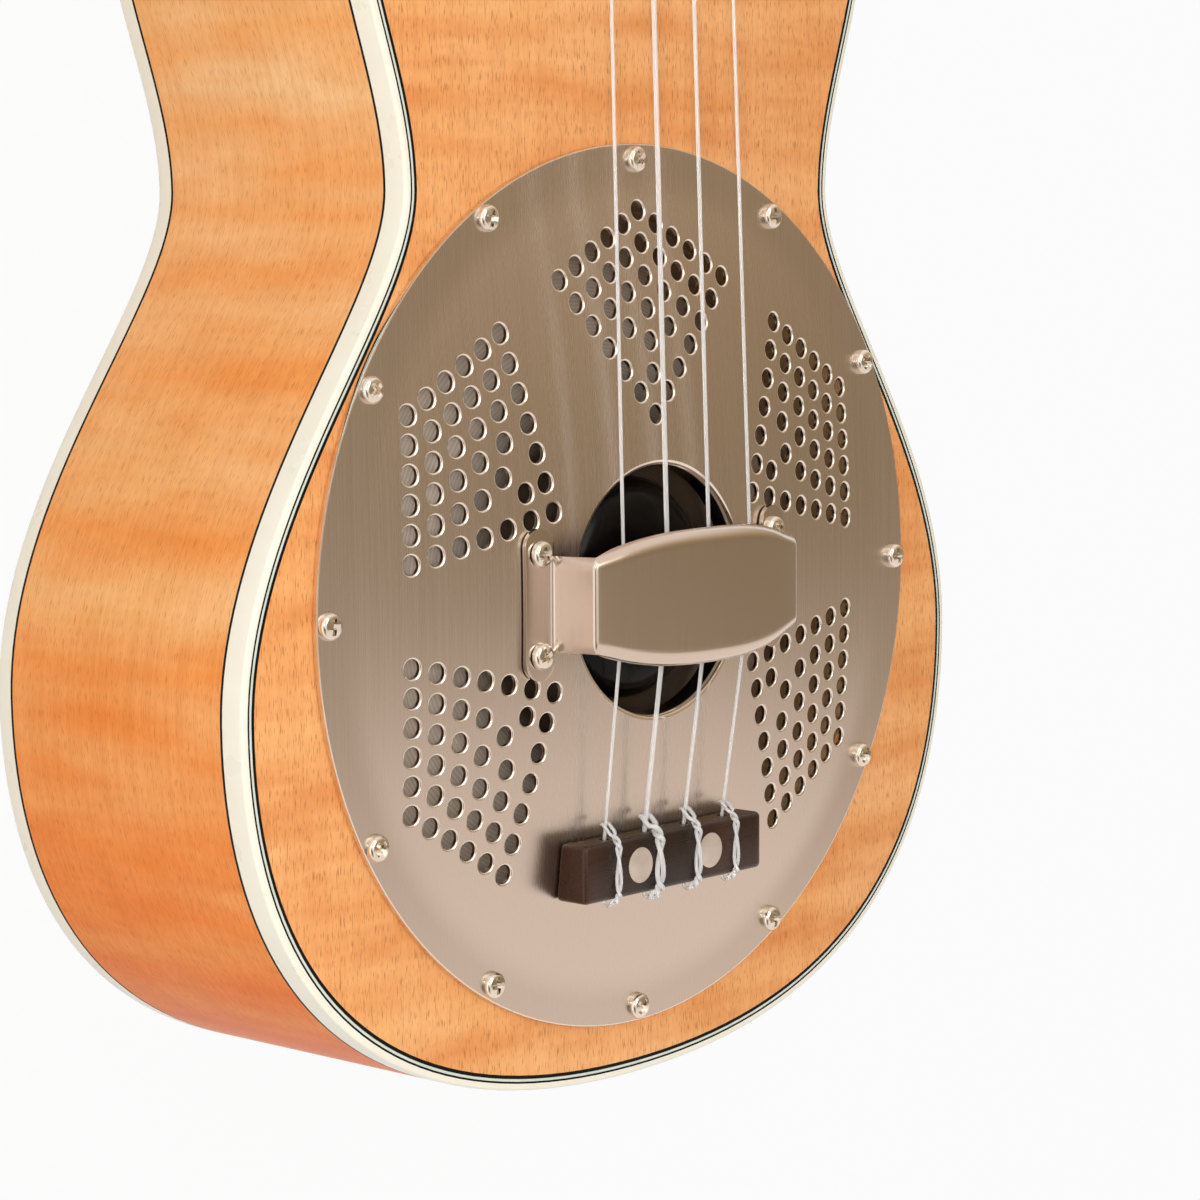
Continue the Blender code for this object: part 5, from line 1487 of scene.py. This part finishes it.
def add_button(number, side, place):
    """Worm on its shaft, and the button at the outer end."""
    centre = place @ Matrix.Translation((0, WORM_Y, WORM_Z))

    def section(x, wide, thick, tooth=0.0):
        row = []
        for a in angles(SHAFT_SIDES):
            swell = tooth * math.cos(a - math.pi - 2 * math.pi * x / WORM_LEAD)
            spot = (side * x, (wide + swell) * math.cos(a), (thick + swell) * math.sin(a))
            row.append(centre @ Vector(spot))
        return row

    half = WORM_HALF - WORM_END
    rows = [section(x, SHAFT_R, SHAFT_R) for x in (-(WORM_HALF + GAP + LUG_T + GAP), -half)]
    for k in range(WORM_STEPS + 1):
        rows.append(section(-half + 2 * half * k / WORM_STEPS, WORM_R, WORM_R, TOOTH))
    rows += [section(x, SHAFT_R, SHAFT_R) for x in (half, BUTTON_START)]
    for a in quarter(BUTTON_STEPS):
        share = math.sin(a)
        full = math.sin(math.pi * (BUTTON_CURVE[0] + BUTTON_CURVE[1] * share)) ** BUTTON_WIDTH_POWER
        rows.append(section(BUTTON_START + BUTTON_LENGTH * share, BUTTON_HALF_WIDTH * full,
                            BUTTON_HALF_T * full ** BUTTON_T_POWER))
    piece = loft(f"worm_and_button_{number}", "chrome", rows, 50)
    attach(piece, "chrome", f"tuner_button_{number}", body=f"button_{number}")


def add_tuner_plate(number, place):
    low_z = TUNER_PLATE_Z - TUNER_PLATE_T
    far_y = WORM_Y + TUNER_PLATE_MARGIN
    near_x = WORM_HALF + GAP
    plate = boxed(f"tuner_base_{number}", "chrome", (-TUNER_PLATE_HALF_X, -TUNER_PLATE_BELOW, low_z),
                  (TUNER_PLATE_HALF_X, far_y, TUNER_PLATE_Z), place)
    hole = lathed("hole", "chrome", ((POST_BORE_R, 2 * low_z), (POST_BORE_R, 0)), BORE_SIDES, place)
    attach(bevelled(cut(plate, hole), TUNER_ROUND, 2), "chrome", f"tuner_plate_{number}")

    lugs = Shape()
    for end in (-1, 1):
        low_x, high_x = sorted((end * near_x, end * (near_x + LUG_T)))
        lugs.box((low_x, WORM_Y - LUG_HALF, WORM_Z - LUG_HALF), (high_x, WORM_Y + LUG_HALF, low_z), place)
    rows = [[place @ Vector((x, y, z)) for y, z in circle(WORM_Y, WORM_Z, SHAFT_R + GAP, LUG_BORE_SIDES)]
            for x in (-2 * near_x, 2 * near_x)]
    bored = cut(lugs.build(f"tuner_lugs_{number}", "chrome"), loft("bore", "chrome", rows))
    attach(bevelled(bored, TUNER_ROUND, 2), "chrome")

    turn = (place @ Matrix.Rotation(math.pi, 4, "X")).to_euler()
    spots = [(place @ Vector((x, TUNER_SCREW_Y, low_z)), turn, [TUNER_SCREW_SIZE] * 3)
             for x in (-TUNER_SCREW_X, TUNER_SCREW_X)]
    screws = scattered(f"tuner_screws_{number}", screw_template(TUNER_SCREW_LENGTH), spots, "screw_steel")
    attach(screws, "chrome")


def add_bushing(number, place):
    high = GAP + BUSHING_FLANGE_T
    bush = Shape()
    bush.ring(((POST_BORE_R, -BUSHING_LENGTH), (BUSHING_R, -BUSHING_LENGTH), (BUSHING_R, GAP),
               (BUSHING_FLANGE_R, GAP), (BUSHING_FLANGE_R, GAP + BUSHING_FLANGE_EDGE),
               (BUSHING_FLANGE_R - BUSHING_FLANGE_ROUND, high), (POST_BORE_R, high)), TURNED_SIDES, place)
    attach(bush.build(f"bushing_{number}", "chrome", angle=40), "chrome", f"tuner_bushing_{number}")


def add_tuners():
    for index, side in enumerate(TUNER_SIDES):
        number = index + 1
        place = headstock_matrix() @ Matrix.Translation(tuner_place(index))
        add_post(number, place)
        add_button(number, side, place)
        add_tuner_plate(number, place)
        add_bushing(number, place)


def dress_inner_nodes():
    """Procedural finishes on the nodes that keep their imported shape."""
    inner = ("back_lining", "top_lining", "neck_block", "tail_block", "back_brace", "soundwell")
    for name, finish in [(name, "inner_wood") for name in inner] + [("biscuit_screw", "chrome")]:
        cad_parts[name].data.materials.clear()
        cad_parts[name].data.materials.append(FINISHES[finish])


# Stage
def turned_to(place, aim):
    """Placed so that -Z looks at the aim."""
    look = (aim - Vector(place)).to_track_quat("-Z", "Y").to_matrix().to_4x4()
    return Matrix.Translation(place) @ look


def add_camera():
    data = bpy.data.cameras.new("camera")
    data.lens = CAMERA_LENS
    data.sensor_width = CAMERA_SENSOR
    data.clip_start = CAMERA_NEAR
    camera = linked("camera", data)
    camera.matrix_world = turned_to(CAMERA_PLACE, CAMERA_AIM) @ Matrix.Rotation(CAMERA_ROLL, 4, "Z")
    bpy.context.scene.camera = camera


def add_lamp(name, place, size, watts, mirrored):
    """Square lamp turned to the coverplate, that metal may show or not."""
    data = bpy.data.lights.new(name, "AREA")
    data.size = size
    data.energy = watts
    data.color = LAMP_TINT
    lamp = linked(name, data)
    lamp.visible_glossy = mirrored
    lamp.matrix_world = turned_to(place, LAMP_AIM)


def any_ray(tree, *kinds):
    """1 for rays of the named kinds, and 0 for the others."""
    rays = node(tree, "ShaderNodeLightPath").outputs
    shown = rays[kinds[0]]
    for kind in kinds[1:]:
        shown = combined(tree, "MAXIMUM", shown, rays[kind])
    return shown


def add_world():
    """White studio that metal shows warmer, with two darker gaps, a bright bass side and a bright panel."""
    world = bpy.data.worlds.new("studio")
    bpy.context.scene.world = world
    world.use_nodes = True
    tree = world.node_tree
    way = node(tree, "ShaderNodeTexCoord").outputs["Generated"]
    x, y, z = node(tree, "ShaderNodeSeparateXYZ", ((0, way),)).outputs
    gap = ramp(tree, ranged(tree, y, -1.0, 1.0), TREBLE_GAP)
    overhead = combined(tree, "MULTIPLY", ranged(tree, x, *OVERHEAD_GAP_X), ranged(tree, z, *OVERHEAD_GAP_Z))
    panel = ranged(tree, measured(tree, "DOT_PRODUCT", way, PANEL_WAY), *PANEL_EDGE)
    bass = ranged(tree, x, *BASS_GLOW_X)
    color = mixed(tree, "MIX", ranged(tree, x, *TREBLE_GAP_X), STUDIO_GLOW, gap)
    for share, glow in ((bass, BASS_GLOW), (overhead, OVERHEAD_GAP), (panel, PANEL_GLOW)):
        color = mixed(tree, "MIX", share, color, glow)
    color = mixed(tree, "MIX", any_ray(tree, "Is Glossy Ray"), AMBIENT, color)
    color = mixed(tree, "MIX", any_ray(tree, "Is Camera Ray", "Is Transmission Ray"), color, WHITE)
    feed(tree, tree.nodes["Background"], (("Color", color), ("Strength", 1.0)))


def add_floor():
    """Floor that shows nearly white, keeps a soft shadow and fades into the studio."""
    tree, shader = new_finish("floor")
    feed(tree, shader, (("Base Color", FLOOR_GREY), ("Roughness", FLOOR_ROUGH),
                        ("Specular IOR Level", FLOOR_GLOSS)))
    glow = node(tree, "ShaderNodeEmission", (("Color", WHITE),))
    reach = measured(tree, "LENGTH", stretched(tree, "Object", (1, 1, 0)))
    level = ranged(tree, reach, *FLOOR_FADE, FLOOR_GLOW, 1.0)
    shown = any_ray(tree, "Is Camera Ray", "Is Glossy Ray", "Is Transmission Ray")
    inputs = (combined(tree, "MULTIPLY", shown, level), shader.outputs[0], glow.outputs[0])
    both = node(tree, "ShaderNodeMixShader", enumerate(inputs))
    feed(tree, tree.nodes["Material Output"], (("Surface", both.outputs[0]),))
    lathed("floor", "floor", ((FLOOR_R, -FLOOR_T), (FLOOR_R, 0.0)), FLOOR_SIDES)


make_finishes()
SCATTER = scatter_group()
bpy.context.scene.view_settings.view_transform = "Standard"
add_camera()
add_strings()
add_body()
add_coverplate()
add_screws()
add_palm_rest()
add_bridge()
add_tie_block()
add_neck()
add_fretboard()
add_tuners()
dress_inner_nodes()
add_world()
for lamp_row in LAMPS:
    add_lamp(*lamp_row)
add_floor()
